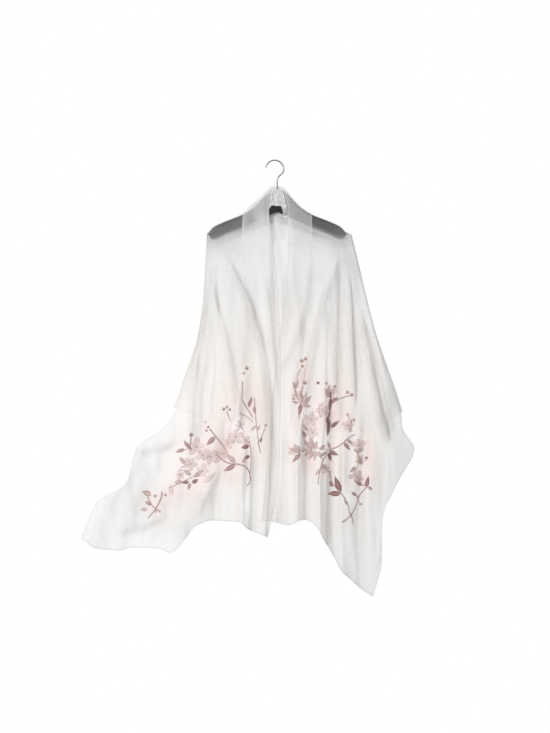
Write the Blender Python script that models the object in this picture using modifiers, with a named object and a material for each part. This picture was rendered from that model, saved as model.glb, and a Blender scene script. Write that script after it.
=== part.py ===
"""A sheer shawl draped over a plain clothes hanger, hanging by the hanger's wire hook.

The tables are in millimetres and the model is in metres. X runs to the viewer's right, Y away
from the viewer and Z up. The origin is the inner top of the hook, where a rail holds it.
"""

import math
from collections import namedtuple

import bmesh
import bpy
from mathutils import Vector

MM = 0.001
COLLECTION_NAME = "shawl_on_hanger"
CUTTER_COLLECTION_NAME = "cutters"

# The hanger: a flat contoured body with a wire hook screwed into its neck.
HANGER_CENTRE_X = 7.5
HANGER_THICKNESS = 12.0
HANGER_EDGE_ROUNDING = 5.8
HANGER_EDGE_RESOLUTION = 1
HANGER_OUTLINE_STEPS = 3
HOOK_WIRE_RADIUS = 2.0
HOOK_ARC_RADIUS = 27.0
HOOK_TIP_ANGLE = 170.0
HOOK_LEAVE_ANGLE = -4.0
HOOK_ARC_STEPS = 18
HOOK_NECK_STEPS = 9
HOOK_BEVEL_RESOLUTION = 2
STEM_TOP_Z = -58.0
NECK_BEND_OUT = (-1.0, -13.0)
NECK_BEND_IN = 15.0
STEM_HOLE_DEPTH = 16.0
STEM_CLEARANCE = 0.3
STEM_HOLE_SIDES = 12

# The cloth: one woven length, modelled as stretches with a thin wall.
WALL = 1.2
SEAM_HALF_GAP = 0.45
OVER_ARM_RADIUS = 7.3
OVER_ARM_STEPS = 3
STEM_PASS_HALF_WIDTH = 16.0
STEM_PASS_DEPTH = 3.0
TURNED_EDGE_GAP = 1.8
TURNED_EDGE_SWELL = 2.6
SWELL_ACROSS = 0.25
SWELL_SHARE = 0.05
COLLAR_GAP = 2.3
EDGE_COLUMNS = 4
EDGE_SHARE = 0.955
TOP_RISE_SHARE = 0.45
HEM_RISE_SHARE = 0.55
SIDE_FREE_SHARE = 0.12
PLUMB_START_SHARE = 0.56
PLUMB_FULL_SHARE = 0.70
PLUMB_POWER = 3.0
NORMAL_STEP = 0.004
WELD_DISTANCE = 0.01

# Half of the hanger's outline from its centre out: its upper and lower edges.
HangerRow = namedtuple("HangerRow", "out z")
HANGER_TOP = (
    HangerRow(0.0, -84.0),
    HangerRow(13.0, -85.5),
    HangerRow(26.0, -95.0),
    HangerRow(40.0, -108.0),
    HangerRow(66.0, -135.0),
    HangerRow(101.0, -158.0),
    HangerRow(155.0, -180.0),
    HangerRow(190.0, -197.0),
    HangerRow(206.0, -216.0),
)
HANGER_FOOT = (
    HangerRow(0.0, -151.0),
    HangerRow(20.0, -159.0),
    HangerRow(60.0, -178.0),
    HangerRow(101.0, -197.0),
    HangerRow(155.0, -219.0),
    HangerRow(186.0, -232.0),
    HangerRow(201.0, -230.0),
    HangerRow(206.0, -216.0),
)

# How far the cloth stands above the hanger, from the viewer's left to right.
LiftRow = namedtuple("LiftRow", "x lift")
RIDGE_LIFT = (
    LiftRow(-201.0, 0.0),
    LiftRow(-186.0, 2.0),
    LiftRow(-147.0, 0.3),
    LiftRow(-94.0, 4.0),
    LiftRow(-58.0, 13.0),
    LiftRow(-38.0, 9.0),
    LiftRow(-14.0, 11.0),
    LiftRow(25.0, 8.0),
    LiftRow(48.0, 3.0),
    LiftRow(75.0, 1.0),
    LiftRow(110.0, 0.3),
    LiftRow(164.0, 3.0),
    LiftRow(202.0, 4.0),
    LiftRow(229.0, 0.0),
)

# The side folds, where the cloth turns from front to back below the shoulders.
SideRow = namedtuple("SideRow", "z x")
SIDE_LEFT = (
    SideRow(-222.0, -201.0),
    SideRow(-323.0, -206.0),
    SideRow(-412.0, -212.0),
    SideRow(-530.0, -230.0),
    SideRow(-619.0, -260.0),
    SideRow(-696.0, -286.0),
    SideRow(-730.0, -301.0),
)
SIDE_RIGHT = (
    SideRow(-225.0, 229.0),
    SideRow(-299.0, 247.0),
    SideRow(-382.0, 267.0),
    SideRow(-501.0, 297.0),
    SideRow(-589.0, 326.0),
    SideRow(-672.0, 356.0),
    SideRow(-743.0, 380.0),
)

# Cross sections of each front, by share of the fall from the hanger to the hem.
Section = namedtuple("Section", "share inner_x inner_z outer_x outer_z")
LEFT_SECTIONS = (
    Section(0.000, -14.0, -90.0, -201.0, -222.0),
    Section(0.068, -17.0, -155.0, -205.0, -287.0),
    Section(0.170, -5.0, -264.0, -210.0, -382.0),
    Section(0.270, 7.0, -367.0, -222.0, -486.0),
    Section(0.377, 14.0, -486.0, -245.0, -577.0),
    Section(0.470, 17.0, -595.0, -273.0, -657.0),
    Section(0.560, 17.0, -693.0, -289.0, -737.0),
    Section(0.640, 16.0, -782.0, -334.0, -797.0),
    Section(0.720, 14.0, -862.0, -402.0, -844.0),
    Section(0.810, 10.0, -939.0, -434.0, -950.0),
    Section(0.895, -1.0, -1013.0, -517.0, -1004.0),
    Section(1.000, -20.0, -1107.0, -566.0, -1113.0),
)
RIGHT_SECTIONS = (
    Section(0.000, 25.0, -90.0, 229.0, -225.0),
    Section(0.077, 39.0, -163.0, 247.0, -299.0),
    Section(0.169, 39.0, -264.0, 268.0, -388.0),
    Section(0.266, 35.0, -367.0, 293.0, -486.0),
    Section(0.364, 22.0, -471.0, 324.0, -583.0),
    Section(0.458, 7.0, -575.0, 355.0, -669.0),
    Section(0.542, -5.0, -678.0, 371.0, -740.0),
    Section(0.614, -14.0, -782.0, 374.0, -788.0),
    Section(0.692, -20.0, -871.0, 409.0, -853.0),
    Section(0.782, -26.0, -945.0, 356.0, -953.0),
    Section(0.866, -32.0, -1004.0, 315.0, -1063.0),
    Section(0.937, -35.0, -1036.0, 312.0, -1181.0),
    Section(1.000, -38.0, -1063.0, 288.0, -1282.0),
)

# How the hem rises above a straight line between its corners, by share across.
HemRow = namedtuple("HemRow", "across rise")
LEFT_HEM = (
    HemRow(0.00, 0.0),
    HemRow(0.10, 22.0),
    HemRow(0.17, 46.0),
    HemRow(0.30, 48.0),
    HemRow(0.39, 35.0),
    HemRow(0.44, 3.0),
    HemRow(0.53, -41.0),
    HemRow(0.60, -29.0),
    HemRow(0.71, -28.0),
    HemRow(0.80, -36.0),
    HemRow(0.90, -27.0),
    HemRow(1.00, 0.0),
)
RIGHT_HEM = (
    HemRow(0.00, 0.0),
    HemRow(0.10, 22.0),
    HemRow(0.22, 38.0),
    HemRow(0.34, 79.0),
    HemRow(0.45, 96.0),
    HemRow(0.53, 77.0),
    HemRow(0.63, 46.0),
    HemRow(0.76, 13.0),
    HemRow(0.90, -2.0),
    HemRow(1.00, 0.0),
)
BACK_HEM = (
    HemRow(0.00, 0.0),
    HemRow(0.06, -18.0),
    HemRow(0.15, -36.0),
    HemRow(0.30, -50.0),
    HemRow(0.45, -56.0),
    HemRow(0.70, -66.0),
    HemRow(0.85, -58.0),
    HemRow(0.95, -26.0),
    HemRow(1.00, 0.0),
)

# Each fold runs through three places. A positive depth is a ridge on the outer side.
Fold = namedtuple("Fold", "top_x top_z mid_x mid_z foot_x foot_z half_width depth")
LEFT_FOLDS = (
    Fold(-177.0, -240.0, -61.0, -438.0, -12.0, -800.0, 18.0, 17.0),
    Fold(-200.0, -330.0, -146.0, -521.0, -105.0, -760.0, 16.0, 12.0),
    Fold(-172.0, -300.0, -158.0, -480.0, -176.0, -740.0, 17.0, -10.0),
    Fold(-215.0, -520.0, -208.0, -650.0, -232.0, -800.0, 18.0, 12.0),
    Fold(-120.0, -850.0, -246.0, -1040.0, -312.0, -1180.0, 26.0, 21.0),
    Fold(-250.0, -780.0, -352.0, -940.0, -440.0, -1190.0, 34.0, -19.0),
    Fold(-318.0, -780.0, -432.0, -930.0, -535.0, -1190.0, 30.0, 19.0),
    Fold(-20.0, -760.0, -26.0, -960.0, -34.0, -1190.0, 14.0, 13.0),
    Fold(-52.0, -780.0, -62.0, -960.0, -72.0, -1190.0, 16.0, -15.0),
    Fold(-92.0, -760.0, -108.0, -960.0, -122.0, -1190.0, 20.0, 16.0),
    Fold(-130.0, -720.0, -170.0, -940.0, -204.0, -1190.0, 24.0, -16.0),
)
RIGHT_FOLDS = (
    Fold(205.0, -238.0, 126.0, -470.0, 72.0, -840.0, 18.0, 17.0),
    Fold(193.0, -255.0, 193.0, -410.0, 190.0, -640.0, 13.0, -11.0),
    Fold(218.0, -300.0, 231.0, -450.0, 240.0, -680.0, 13.0, 11.0),
    Fold(244.0, -400.0, 276.0, -570.0, 326.0, -790.0, 17.0, -14.0),
    Fold(300.0, -560.0, 352.0, -780.0, 330.0, -1150.0, 26.0, 17.0),
    Fold(4.0, -690.0, -2.0, -900.0, -10.0, -1320.0, 15.0, 10.0),
    Fold(36.0, -680.0, 30.0, -880.0, 23.0, -1320.0, 15.0, -13.0),
    Fold(68.0, -690.0, 62.0, -900.0, 56.0, -1320.0, 15.0, 14.0),
    Fold(101.0, -650.0, 95.0, -880.0, 89.0, -1320.0, 15.0, -15.0),
    Fold(135.0, -640.0, 128.0, -880.0, 123.0, -1320.0, 15.0, 15.0),
    Fold(172.0, -680.0, 163.0, -920.0, 158.0, -1320.0, 16.0, -20.0),
    Fold(220.0, -680.0, 206.0, -930.0, 202.0, -1320.0, 20.0, 18.0),
    Fold(272.0, -700.0, 254.0, -960.0, 246.0, -1320.0, 19.0, -16.0),
)
BACK_FOLDS = (
    Fold(-168.0, -250.0, -196.0, -470.0, -236.0, -860.0, 20.0, 10.0),
    Fold(-118.0, -240.0, -140.0, -470.0, -168.0, -860.0, 20.0, -8.0),
    Fold(-62.0, -210.0, -78.0, -470.0, -96.0, -860.0, 24.0, 11.0),
    Fold(-14.0, -220.0, -20.0, -470.0, -28.0, -860.0, 18.0, -8.0),
    Fold(34.0, -210.0, 40.0, -470.0, 48.0, -860.0, 22.0, 10.0),
    Fold(84.0, -230.0, 98.0, -470.0, 118.0, -860.0, 20.0, -8.0),
    Fold(134.0, -240.0, 160.0, -470.0, 196.0, -860.0, 23.0, 11.0),
    Fold(188.0, -270.0, 226.0, -480.0, 282.0, -860.0, 22.0, -8.0),
)

# How deep the fronts and the back stand from the hanger's middle plane, by share of the fall,
# and how wide the side fold turns there.
DepthRow = namedtuple("DepthRow", "share depth turn_width")
FRONT_DEPTHS = (
    DepthRow(0.00, 7.3, 7.3),
    DepthRow(0.05, 7.6, 8.0),
    DepthRow(0.20, 18.0, 16.0),
    DepthRow(0.45, 32.0, 30.0),
    DepthRow(0.70, 44.0, 34.0),
    DepthRow(1.00, 54.0, 34.0),
)
BACK_DEPTHS = (
    DepthRow(0.00, 7.3, 7.3),
    DepthRow(0.10, 7.6, 8.0),
    DepthRow(0.40, 18.0, 20.0),
    DepthRow(0.75, 26.0, 28.0),
    DepthRow(1.00, 31.0, 30.0),
)

# Each fold narrows to its top and fades in and out along its length.
FOLD_TOP_NARROWING = 0.7
FOLD_FADE_IN = 0.3
FOLD_FADE_OUT = 0.25

# The left front laps over the right one below the opening.
LAP_START_SHARE = 0.30
LAP_FULL_SHARE = 0.50
LAP_ACROSS = 0.22
LAP_FORWARD = 8.0
LAP_BACKWARD = 14.0

# The upper long edge, turned back over each front: its width by share of the fall.
TurnedRow = namedtuple("TurnedRow", "share width")
LAPEL_LEFT = (
    TurnedRow(0.00, 80.0),
    TurnedRow(0.07, 80.0),
    TurnedRow(0.17, 91.0),
    TurnedRow(0.27, 92.0),
    TurnedRow(0.377, 72.0),
    TurnedRow(0.47, 46.0),
    TurnedRow(0.56, 16.0),
)
LAPEL_RIGHT = (
    TurnedRow(0.00, 85.0),
    TurnedRow(0.077, 72.0),
    TurnedRow(0.169, 66.0),
    TurnedRow(0.266, 51.0),
    TurnedRow(0.364, 28.0),
    TurnedRow(0.45, 7.0),
)
COLLAR_LEFT_X = -93.0
COLLAR_RIGHT_X = 109.0
COLLAR_CENTRE_DROP = 78.0
COLLAR_END_DROP = 9.0
COLLAR_ROUNDNESS = 0.7

# The bunched edge over the hanger's neck.
NECK_FOOT_Z = -133.0
NECK_DIP = 5.0
NECK_RADIUS = 7.2
NECK_CRUMPLE = 1.6
NECK_CRUMPLE_WAVES = 2.5
NECK_CRUMPLE_SLANT = 4.0
NECK_CRUMPLE_SHARE = 0.3
NECK_SIDE_GAP = 0.5
NECK_STAND_OFF = 1.6
NECK_TURN_ANGLES = (45.0, 67.0)

FRONT_ROWS = 26
BACK_COLUMNS = 26
BACK_ROWS = 15
LAPEL_COLUMNS = 10
COLLAR_COLUMNS = 16
COLLAR_ROWS = 5
NECK_COLUMNS = 9
NECK_ROWS = 6

Finish = namedtuple("Finish", "colour roughness metallic")
SHEER_WHITE = Finish((0.86, 0.85, 0.82, 1.0), 0.8, 0.0)
HANGER_BLACK = Finish((0.012, 0.012, 0.013, 1.0), 0.45, 0.0)
WIRE_STEEL = Finish((0.62, 0.60, 0.57, 1.0), 0.28, 1.0)

# A front is joined to the back at its side as far down as its join share. The right front hangs
# plumb (1.0) below the waist, and the left one spreads (0.0).
Front = namedtuple("Front", "sections side hem folds join_share lap plumb columns")
LEFT_FRONT = Front(LEFT_SECTIONS, SIDE_LEFT, LEFT_HEM, LEFT_FOLDS, 0.47, LAP_FORWARD, 0.0, 32)
RIGHT_FRONT = Front(RIGHT_SECTIONS, SIDE_RIGHT, RIGHT_HEM, RIGHT_FOLDS, 0.458, -LAP_BACKWARD, 1.0, 46)


def smooth_step(low, high, value):
    """Ease from 0 at low to 1 at high."""
    share = min(max((value - low) / (high - low), 0.0), 1.0)
    return share * share * (3.0 - 2.0 * share)


def blend(first, second, share):
    """The value at a share of the way from first to second."""
    return first + (second - first) * share


def read_row(rows, key, want, value):
    """Read column want where column key has this value, on a smooth curve without overshoot."""
    points = sorted((getattr(row, key), getattr(row, want)) for row in rows)
    if value <= points[0][0]:
        return points[0][1]
    if value >= points[-1][0]:
        return points[-1][1]
    slopes = [(b[1] - a[1]) / (b[0] - a[0]) for a, b in zip(points, points[1:])]
    tangents = [slopes[0]]
    for before, after in zip(slopes, slopes[1:]):
        same_way = before * after > 0.0
        tangents.append(2.0 * before * after / (before + after) if same_way else 0.0)
    tangents.append(slopes[-1])
    index = max(i for i, point in enumerate(points) if point[0] <= value)
    start, end = points[index], points[index + 1]
    width = end[0] - start[0]
    share = (value - start[0]) / width
    rest = 1.0 - share
    return (start[1] * (1.0 + 2.0 * share) * rest * rest
            + end[1] * (3.0 - 2.0 * share) * share * share
            + tangents[index] * width * share * rest * rest
            - tangents[index + 1] * width * share * share * rest)


def hanger_top(x):
    """Height of the hanger's upper edge at this x."""
    return read_row(HANGER_TOP, "out", "z", abs(x - HANGER_CENTRE_X))


def ridge_height(x):
    """Height of the cloth where it passes over the hanger, and past its tips to the side folds."""
    lifted = hanger_top(x) + OVER_ARM_RADIUS - HANGER_THICKNESS / 2.0
    lifted += read_row(RIDGE_LIFT, "x", "lift", x)
    reach = HANGER_TOP[-1].out
    side = SIDE_RIGHT if x > HANGER_CENTRE_X else SIDE_LEFT
    past_tip = smooth_step(reach, abs(side[0].x - HANGER_CENTRE_X), abs(x - HANGER_CENTRE_X))
    return blend(lifted, side[0].z + OVER_ARM_RADIUS, past_tip)


def seam_offset(x):
    """Half the gap between front and back at the top, wider where the hook's stem passes."""
    near_stem = math.exp(-((x - HANGER_CENTRE_X) / STEM_PASS_HALF_WIDTH) ** 2)
    return SEAM_HALF_GAP + STEM_PASS_DEPTH * near_stem


def fold_height(folds, x, z):
    """How far all the folds move the cloth out at this place."""
    total = 0.0
    for fold in folds:
        down = (fold.top_z - z) / (fold.top_z - fold.foot_z)
        fade = smooth_step(0.0, FOLD_FADE_IN, down) * (1.0 - smooth_step(1.0, 1.0 + FOLD_FADE_OUT, down))
        if fade == 0.0:
            continue
        top_mid = fold.top_z - fold.mid_z
        mid_foot = fold.mid_z - fold.foot_z
        whole = fold.top_z - fold.foot_z
        line_x = fold.top_x * (z - fold.mid_z) * (z - fold.foot_z) / (top_mid * whole)
        line_x -= fold.mid_x * (z - fold.top_z) * (z - fold.foot_z) / (top_mid * mid_foot)
        line_x += fold.foot_x * (z - fold.top_z) * (z - fold.mid_z) / (whole * mid_foot)
        half_width = fold.half_width * blend(FOLD_TOP_NARROWING, 1.0, down)
        total += fold.depth * fade * math.exp(-((x - line_x) / half_width) ** 2)
    return total


def round_turn(edge_distance, turn_width):
    """Share of the full depth left at this distance from the side fold."""
    if edge_distance >= turn_width:
        return 1.0
    short = 1.0 - max(edge_distance, 0.0) / turn_width
    return math.sqrt(max(1.0 - short * short, 0.0))


def front_width(front, share):
    """Straight width of a front, by share of the fall."""
    inner_x = read_row(front.sections, "share", "inner_x", share)
    return abs(read_row(front.sections, "share", "outer_x", share) - inner_x)


def plumb_across(front, across, share):
    """Share across of a column: low on a plumb front the columns by the opening hang straight."""
    plumb = front.plumb * smooth_step(PLUMB_START_SHARE, PLUMB_FULL_SHARE, share)
    if plumb == 0.0:
        return across
    ratio = blend(1.0, front_width(front, PLUMB_START_SHARE) / front_width(front, share), plumb)
    return across * ratio - (ratio - 1.0) * across ** PLUMB_POWER


def front_place(front, column, share):
    """A place on a front below the arm, by column and share of the fall."""
    across = plumb_across(front, column, share)
    edges = [read_row(front.sections, "share", name, share) for name in Section._fields[1:]]
    inner_x, inner_z, outer_x, outer_z = edges
    if share < front.join_share:
        outer_x = read_row(front.side, "z", "x", outer_z)
    x = blend(inner_x, outer_x, across)
    straight_z = blend(inner_z, outer_z, across)
    top = front.sections[0]
    top_x = blend(top.inner_x, top.outer_x, across)
    top_line_z = blend(top.inner_z, top.outer_z, across)
    top_rise = ridge_height(top_x) - OVER_ARM_RADIUS - top_line_z
    z = straight_z + top_rise * (1.0 - smooth_step(0.0, TOP_RISE_SHARE, share))
    z += read_row(front.hem, "across", "rise", across) * smooth_step(HEM_RISE_SHARE, 1.0, share) ** 2
    depth = read_row(FRONT_DEPTHS, "share", "depth", share)
    depth += fold_height(front.folds, x, z)
    lap = smooth_step(LAP_START_SHARE, LAP_FULL_SHARE, share)
    depth += front.lap * lap * (1.0 - smooth_step(0.0, LAP_ACROSS, across))
    turn_width = read_row(FRONT_DEPTHS, "share", "turn_width", share)
    turn = round_turn((1.0 - across) * abs(outer_x - inner_x), turn_width)
    free = smooth_step(front.join_share, front.join_share + SIDE_FREE_SHARE, share)
    turn = blend(turn, 1.0, free)
    return x, z, depth, turn


def over_arm(x, z, turn, share):
    """Depth and height on the turn over the arm, by share back up from its foot to the seam."""
    seam = seam_offset(x)
    angle = blend(math.pi / 2.0, math.asin(seam / OVER_ARM_RADIUS), share)
    return max(OVER_ARM_RADIUS * math.sin(angle) * turn, seam), z + OVER_ARM_RADIUS * math.cos(angle)


def front_point(front, across, down):
    """A point on a front. Down runs from -1 at the seam on top, by 0 under the arm's turn, to 1."""
    x, z, depth, turn = front_place(front, across, max(down, 0.0))
    if down < 0.0:
        y, z = over_arm(x, z, turn, -down)
        return Vector((x, -y, z)) * MM
    return Vector((x, -(SEAM_HALF_GAP + (depth - SEAM_HALF_GAP) * turn), z)) * MM


def back_point(across, down):
    """A point on the back, from the viewer's left to right, with down as on a front."""
    share = max(down, 0.0)
    left_z = blend(SIDE_LEFT[0].z, SIDE_LEFT[-1].z, share)
    right_z = blend(SIDE_RIGHT[0].z, SIDE_RIGHT[-1].z, share)
    left_x = read_row(SIDE_LEFT, "z", "x", left_z)
    right_x = read_row(SIDE_RIGHT, "z", "x", right_z)
    x = blend(left_x, right_x, across)
    top_x = blend(SIDE_LEFT[0].x, SIDE_RIGHT[0].x, across)
    top_line_z = blend(SIDE_LEFT[0].z, SIDE_RIGHT[0].z, across)
    top_rise = ridge_height(top_x) - OVER_ARM_RADIUS - top_line_z
    z = blend(left_z, right_z, across) + top_rise * (1.0 - share)
    z += read_row(BACK_HEM, "across", "rise", across) * share ** 3
    depth = read_row(BACK_DEPTHS, "share", "depth", share)
    depth += fold_height(BACK_FOLDS, x, z)
    turn_width = read_row(BACK_DEPTHS, "share", "turn_width", share)
    turn = round_turn(min(across, 1.0 - across) * (right_x - left_x), turn_width)
    if down < 0.0:
        y, z = over_arm(x, z, turn, -down)
        return Vector((x, y, z)) * MM
    return Vector((x, SEAM_HALF_GAP + (depth - SEAM_HALF_GAP) * turn, z)) * MM


def moved_out(surface, across, down, out, outward):
    """A point of a surface, moved off it along its normal on the outward side."""
    low, high = max(down - NORMAL_STEP, -1.0), min(down + NORMAL_STEP, 1.0)
    rise = surface(across, high) - surface(across, low)
    run = surface(across + NORMAL_STEP, down) - surface(across - NORMAL_STEP, down)
    normal = rise.cross(run).normalized()
    if normal.dot(outward) < 0.0:
        normal.negate()
    return surface(across, down) + normal * out * MM


def down_steps(rows, last_share):
    """Row places: the seam on top, the turn over the arm, then even steps down the fall."""
    turn = [step / OVER_ARM_STEPS - 1.0 for step in range(OVER_ARM_STEPS)]
    return turn + [last_share * row / rows for row in range(rows + 1)]


def across_steps(columns, close_both=False):
    """Column places, closer together where the cloth turns at a side."""
    fine = [1.0 - (1.0 - EDGE_SHARE) * (1.0 - step / EDGE_COLUMNS) ** 2
            for step in range(1, EDGE_COLUMNS + 1)]
    if not close_both:
        return [EDGE_SHARE * column / columns for column in range(columns + 1)] + fine
    middle = [blend(1.0 - EDGE_SHARE, EDGE_SHARE, column / columns) for column in range(columns + 1)]
    return [1.0 - place for place in reversed(fine)] + middle + fine


def new_collection(name):
    """A new collection in the scene."""
    collection = bpy.data.collections.new(name)
    bpy.context.scene.collection.children.link(collection)
    return collection


def make_material(name, finish):
    """A plain Principled material."""
    material = bpy.data.materials.new(name)
    material.use_nodes = True
    shader = material.node_tree.nodes["Principled BSDF"]
    shader.inputs["Base Color"].default_value = finish.colour
    shader.inputs["Roughness"].default_value = finish.roughness
    shader.inputs["Metallic"].default_value = finish.metallic
    material.diffuse_color = finish.colour
    return material


def add_object(name, data, material, collection):
    """Link an object with its own material."""
    thing = bpy.data.objects.new(name, data)
    data.materials.append(material)
    collection.objects.link(thing)
    return thing


def make_wall(name, columns, rows, place, material, collection):
    """A cloth wall: a grid whose points are placed by a function of column and row, made thick."""
    shape = bmesh.new()
    bmesh.ops.create_grid(shape, x_segments=len(columns) - 1, y_segments=len(rows) - 1, size=0.5)
    for vert in shape.verts:
        column = round((vert.co.x + 0.5) * (len(columns) - 1))
        row = round((0.5 - vert.co.y) * (len(rows) - 1))
        vert.co = place(columns[column], rows[row])
    mesh = bpy.data.meshes.new(name)
    shape.to_mesh(mesh)
    shape.free()
    wall = add_object(name, mesh, material, collection)
    thick = wall.modifiers.new("wall", "SOLIDIFY")
    thick.thickness = WALL * MM
    thick.offset = 0.0
    mesh.shade_smooth()
    return wall


def make_front(name, front, material, collection):
    """One front, from the top of the arm down to its hem."""
    columns = across_steps(front.columns)
    rows = down_steps(FRONT_ROWS, 1.0)
    return make_wall(name, columns, rows, lambda a, d: front_point(front, a, d), material, collection)


def make_lapel(name, front, widths, material, collection):
    """The turned-back upper edge, made from the front's own points, moved out."""
    last_share = widths[-1].share
    columns = [column / LAPEL_COLUMNS for column in range(LAPEL_COLUMNS + 1)]
    rows = down_steps(round(FRONT_ROWS * last_share), last_share)
    outward = Vector((0.0, -1.0, 1.0))

    def place(across, down):
        share = max(down, 0.0)
        width = read_row(widths, "share", "width", share)
        swell = TURNED_EDGE_SWELL * smooth_step(0.0, SWELL_ACROSS, across)
        swell *= smooth_step(0.0, SWELL_SHARE, share)
        front_across = across * width / front_width(front, share)
        return moved_out(lambda a, d: front_point(front, a, d), front_across, down,
                         TURNED_EDGE_GAP + swell, outward)

    return make_wall(name, columns, rows, place, material, collection)


def make_back(name, material, collection):
    """The back, from the top of the hanger to its hem."""
    columns = across_steps(BACK_COLUMNS, close_both=True)
    return make_wall(name, columns, down_steps(BACK_ROWS, 1.0), back_point, material, collection)


def make_collar(name, material, collection):
    """The turned-back upper edge behind the neck, made from the back's own points, moved out."""
    span = SIDE_RIGHT[0].x - SIDE_LEFT[0].x
    fall = SIDE_LEFT[0].z - SIDE_LEFT[-1].z

    def place(along, down):
        x = blend(COLLAR_LEFT_X, COLLAR_RIGHT_X, along)
        across = (x - SIDE_LEFT[0].x) / span
        bow = math.sin(math.pi * along) ** COLLAR_ROUNDNESS
        drop = blend(COLLAR_END_DROP, COLLAR_CENTRE_DROP, bow)
        share = down if down < 0.0 else down * drop / fall
        return moved_out(back_point, across, share, COLLAR_GAP, Vector((0.0, 1.0, 1.0)))

    columns = [column / COLLAR_COLUMNS for column in range(COLLAR_COLUMNS + 1)]
    return make_wall(name, columns, down_steps(COLLAR_ROWS, 1.0), place, material, collection)


def make_neck_fold(name, material, collection):
    """The bunched edge that lies over the front of the hanger's neck."""
    top_y = seam_offset(HANGER_CENTRE_X)
    top_angle = math.degrees(math.asin(top_y / NECK_RADIUS))
    rows = [-angle for angle in (top_angle, *NECK_TURN_ANGLES)]
    rows += [row / NECK_ROWS for row in range(NECK_ROWS + 1)]
    columns = [column / NECK_COLUMNS for column in range(NECK_COLUMNS + 1)]
    top_z = hanger_top(HANGER_CENTRE_X) + NECK_STAND_OFF - NECK_RADIUS

    def place(across, down):
        share = max(down, 0.0)
        z = blend(top_z, NECK_FOOT_Z, share) - NECK_DIP * share * math.sin(math.pi * across)
        left_x = read_row(LEFT_SECTIONS, "inner_z", "inner_x", z) + NECK_SIDE_GAP
        right_x = read_row(RIGHT_SECTIONS, "inner_z", "inner_x", z) - NECK_SIDE_GAP
        x = blend(left_x, right_x, across)
        if down < 0.0:
            angle = math.radians(-down)
            return Vector((x, -NECK_RADIUS * math.sin(angle), top_z + NECK_RADIUS * math.cos(angle))) * MM
        wave = 2.0 * math.pi * NECK_CRUMPLE_WAVES * across + NECK_CRUMPLE_SLANT * share
        crumple = NECK_CRUMPLE * math.sin(wave / 2.0) ** 2
        crumple *= smooth_step(0.0, NECK_CRUMPLE_SHARE, share)
        return Vector((x, -NECK_RADIUS - crumple, z)) * MM

    return make_wall(name, columns, rows, place, material, collection)


def hanger_outline():
    """The hanger's outline in its own plane: both halves, along the top and back underneath."""
    def run(rows, start, end):
        steps = (len(rows) - 1) * HANGER_OUTLINE_STEPS
        outs = [blend(start, end, step / steps) for step in range(steps + 1)]
        return [(out, read_row(rows, "out", "z", out)) for out in outs]

    reach = HANGER_TOP[-1].out
    half = run(HANGER_TOP, 0.0, reach) + run(HANGER_FOOT, reach, 0.0)[1:]
    other = [(-out, z) for out, z in reversed(half[1:-1])]
    return half + other


def make_hanger(material, collection, cutters):
    """The hanger's body: its flat outline made thick, with rounded edges and the stem's hole."""
    curve = bpy.data.curves.new("hanger_outline", "CURVE")
    curve.dimensions = "2D"
    curve.fill_mode = "BOTH"
    curve.extrude = (HANGER_THICKNESS / 2.0 - HANGER_EDGE_ROUNDING) * MM
    curve.bevel_depth = HANGER_EDGE_ROUNDING * MM
    curve.bevel_resolution = HANGER_EDGE_RESOLUTION
    curve.offset = -HANGER_EDGE_ROUNDING * MM
    outline = hanger_outline()
    line = curve.splines.new("POLY")
    line.points.add(len(outline) - 1)
    for point, (out, z) in zip(line.points, outline):
        point.co = (out * MM, z * MM, 0.0, 1.0)
    line.use_cyclic_u = True
    guide = bpy.data.objects.new("hanger_outline", curve)
    collection.objects.link(guide)
    guide.location.x = HANGER_CENTRE_X * MM
    guide.rotation_euler.x = math.pi / 2.0
    bpy.context.view_layer.update()
    mesh = bpy.data.meshes.new_from_object(guide.evaluated_get(bpy.context.evaluated_depsgraph_get()))
    mesh.name = "hanger_body"
    shape = bmesh.new()
    shape.from_mesh(mesh)
    bmesh.ops.remove_doubles(shape, verts=shape.verts, dist=WELD_DISTANCE * MM)
    bmesh.ops.recalc_face_normals(shape, faces=shape.faces)
    shape.to_mesh(mesh)
    shape.free()
    body = add_object("hanger_body", mesh, material, collection)
    body.matrix_world = guide.matrix_world
    bpy.data.objects.remove(guide)
    top = hanger_top(HANGER_CENTRE_X)
    drill = bmesh.new()
    radius = (HOOK_WIRE_RADIUS + STEM_CLEARANCE) * MM
    bmesh.ops.create_cone(drill, cap_ends=True, segments=STEM_HOLE_SIDES, radius1=radius,
                          radius2=radius, depth=2.0 * STEM_HOLE_DEPTH * MM)
    drill_mesh = bpy.data.meshes.new("stem_drill")
    drill.to_mesh(drill_mesh)
    drill.free()
    cutter = bpy.data.objects.new("stem_drill", drill_mesh)
    cutters.objects.link(cutter)
    cutter.location = (HANGER_CENTRE_X * MM, 0.0, top * MM)
    cutter.hide_render = True
    cutter.display_type = "WIRE"
    hole = body.modifiers.new("stem_hole", "BOOLEAN")
    hole.operation = "DIFFERENCE"
    hole.solver = "EXACT"
    hole.object = cutter
    return body


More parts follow.
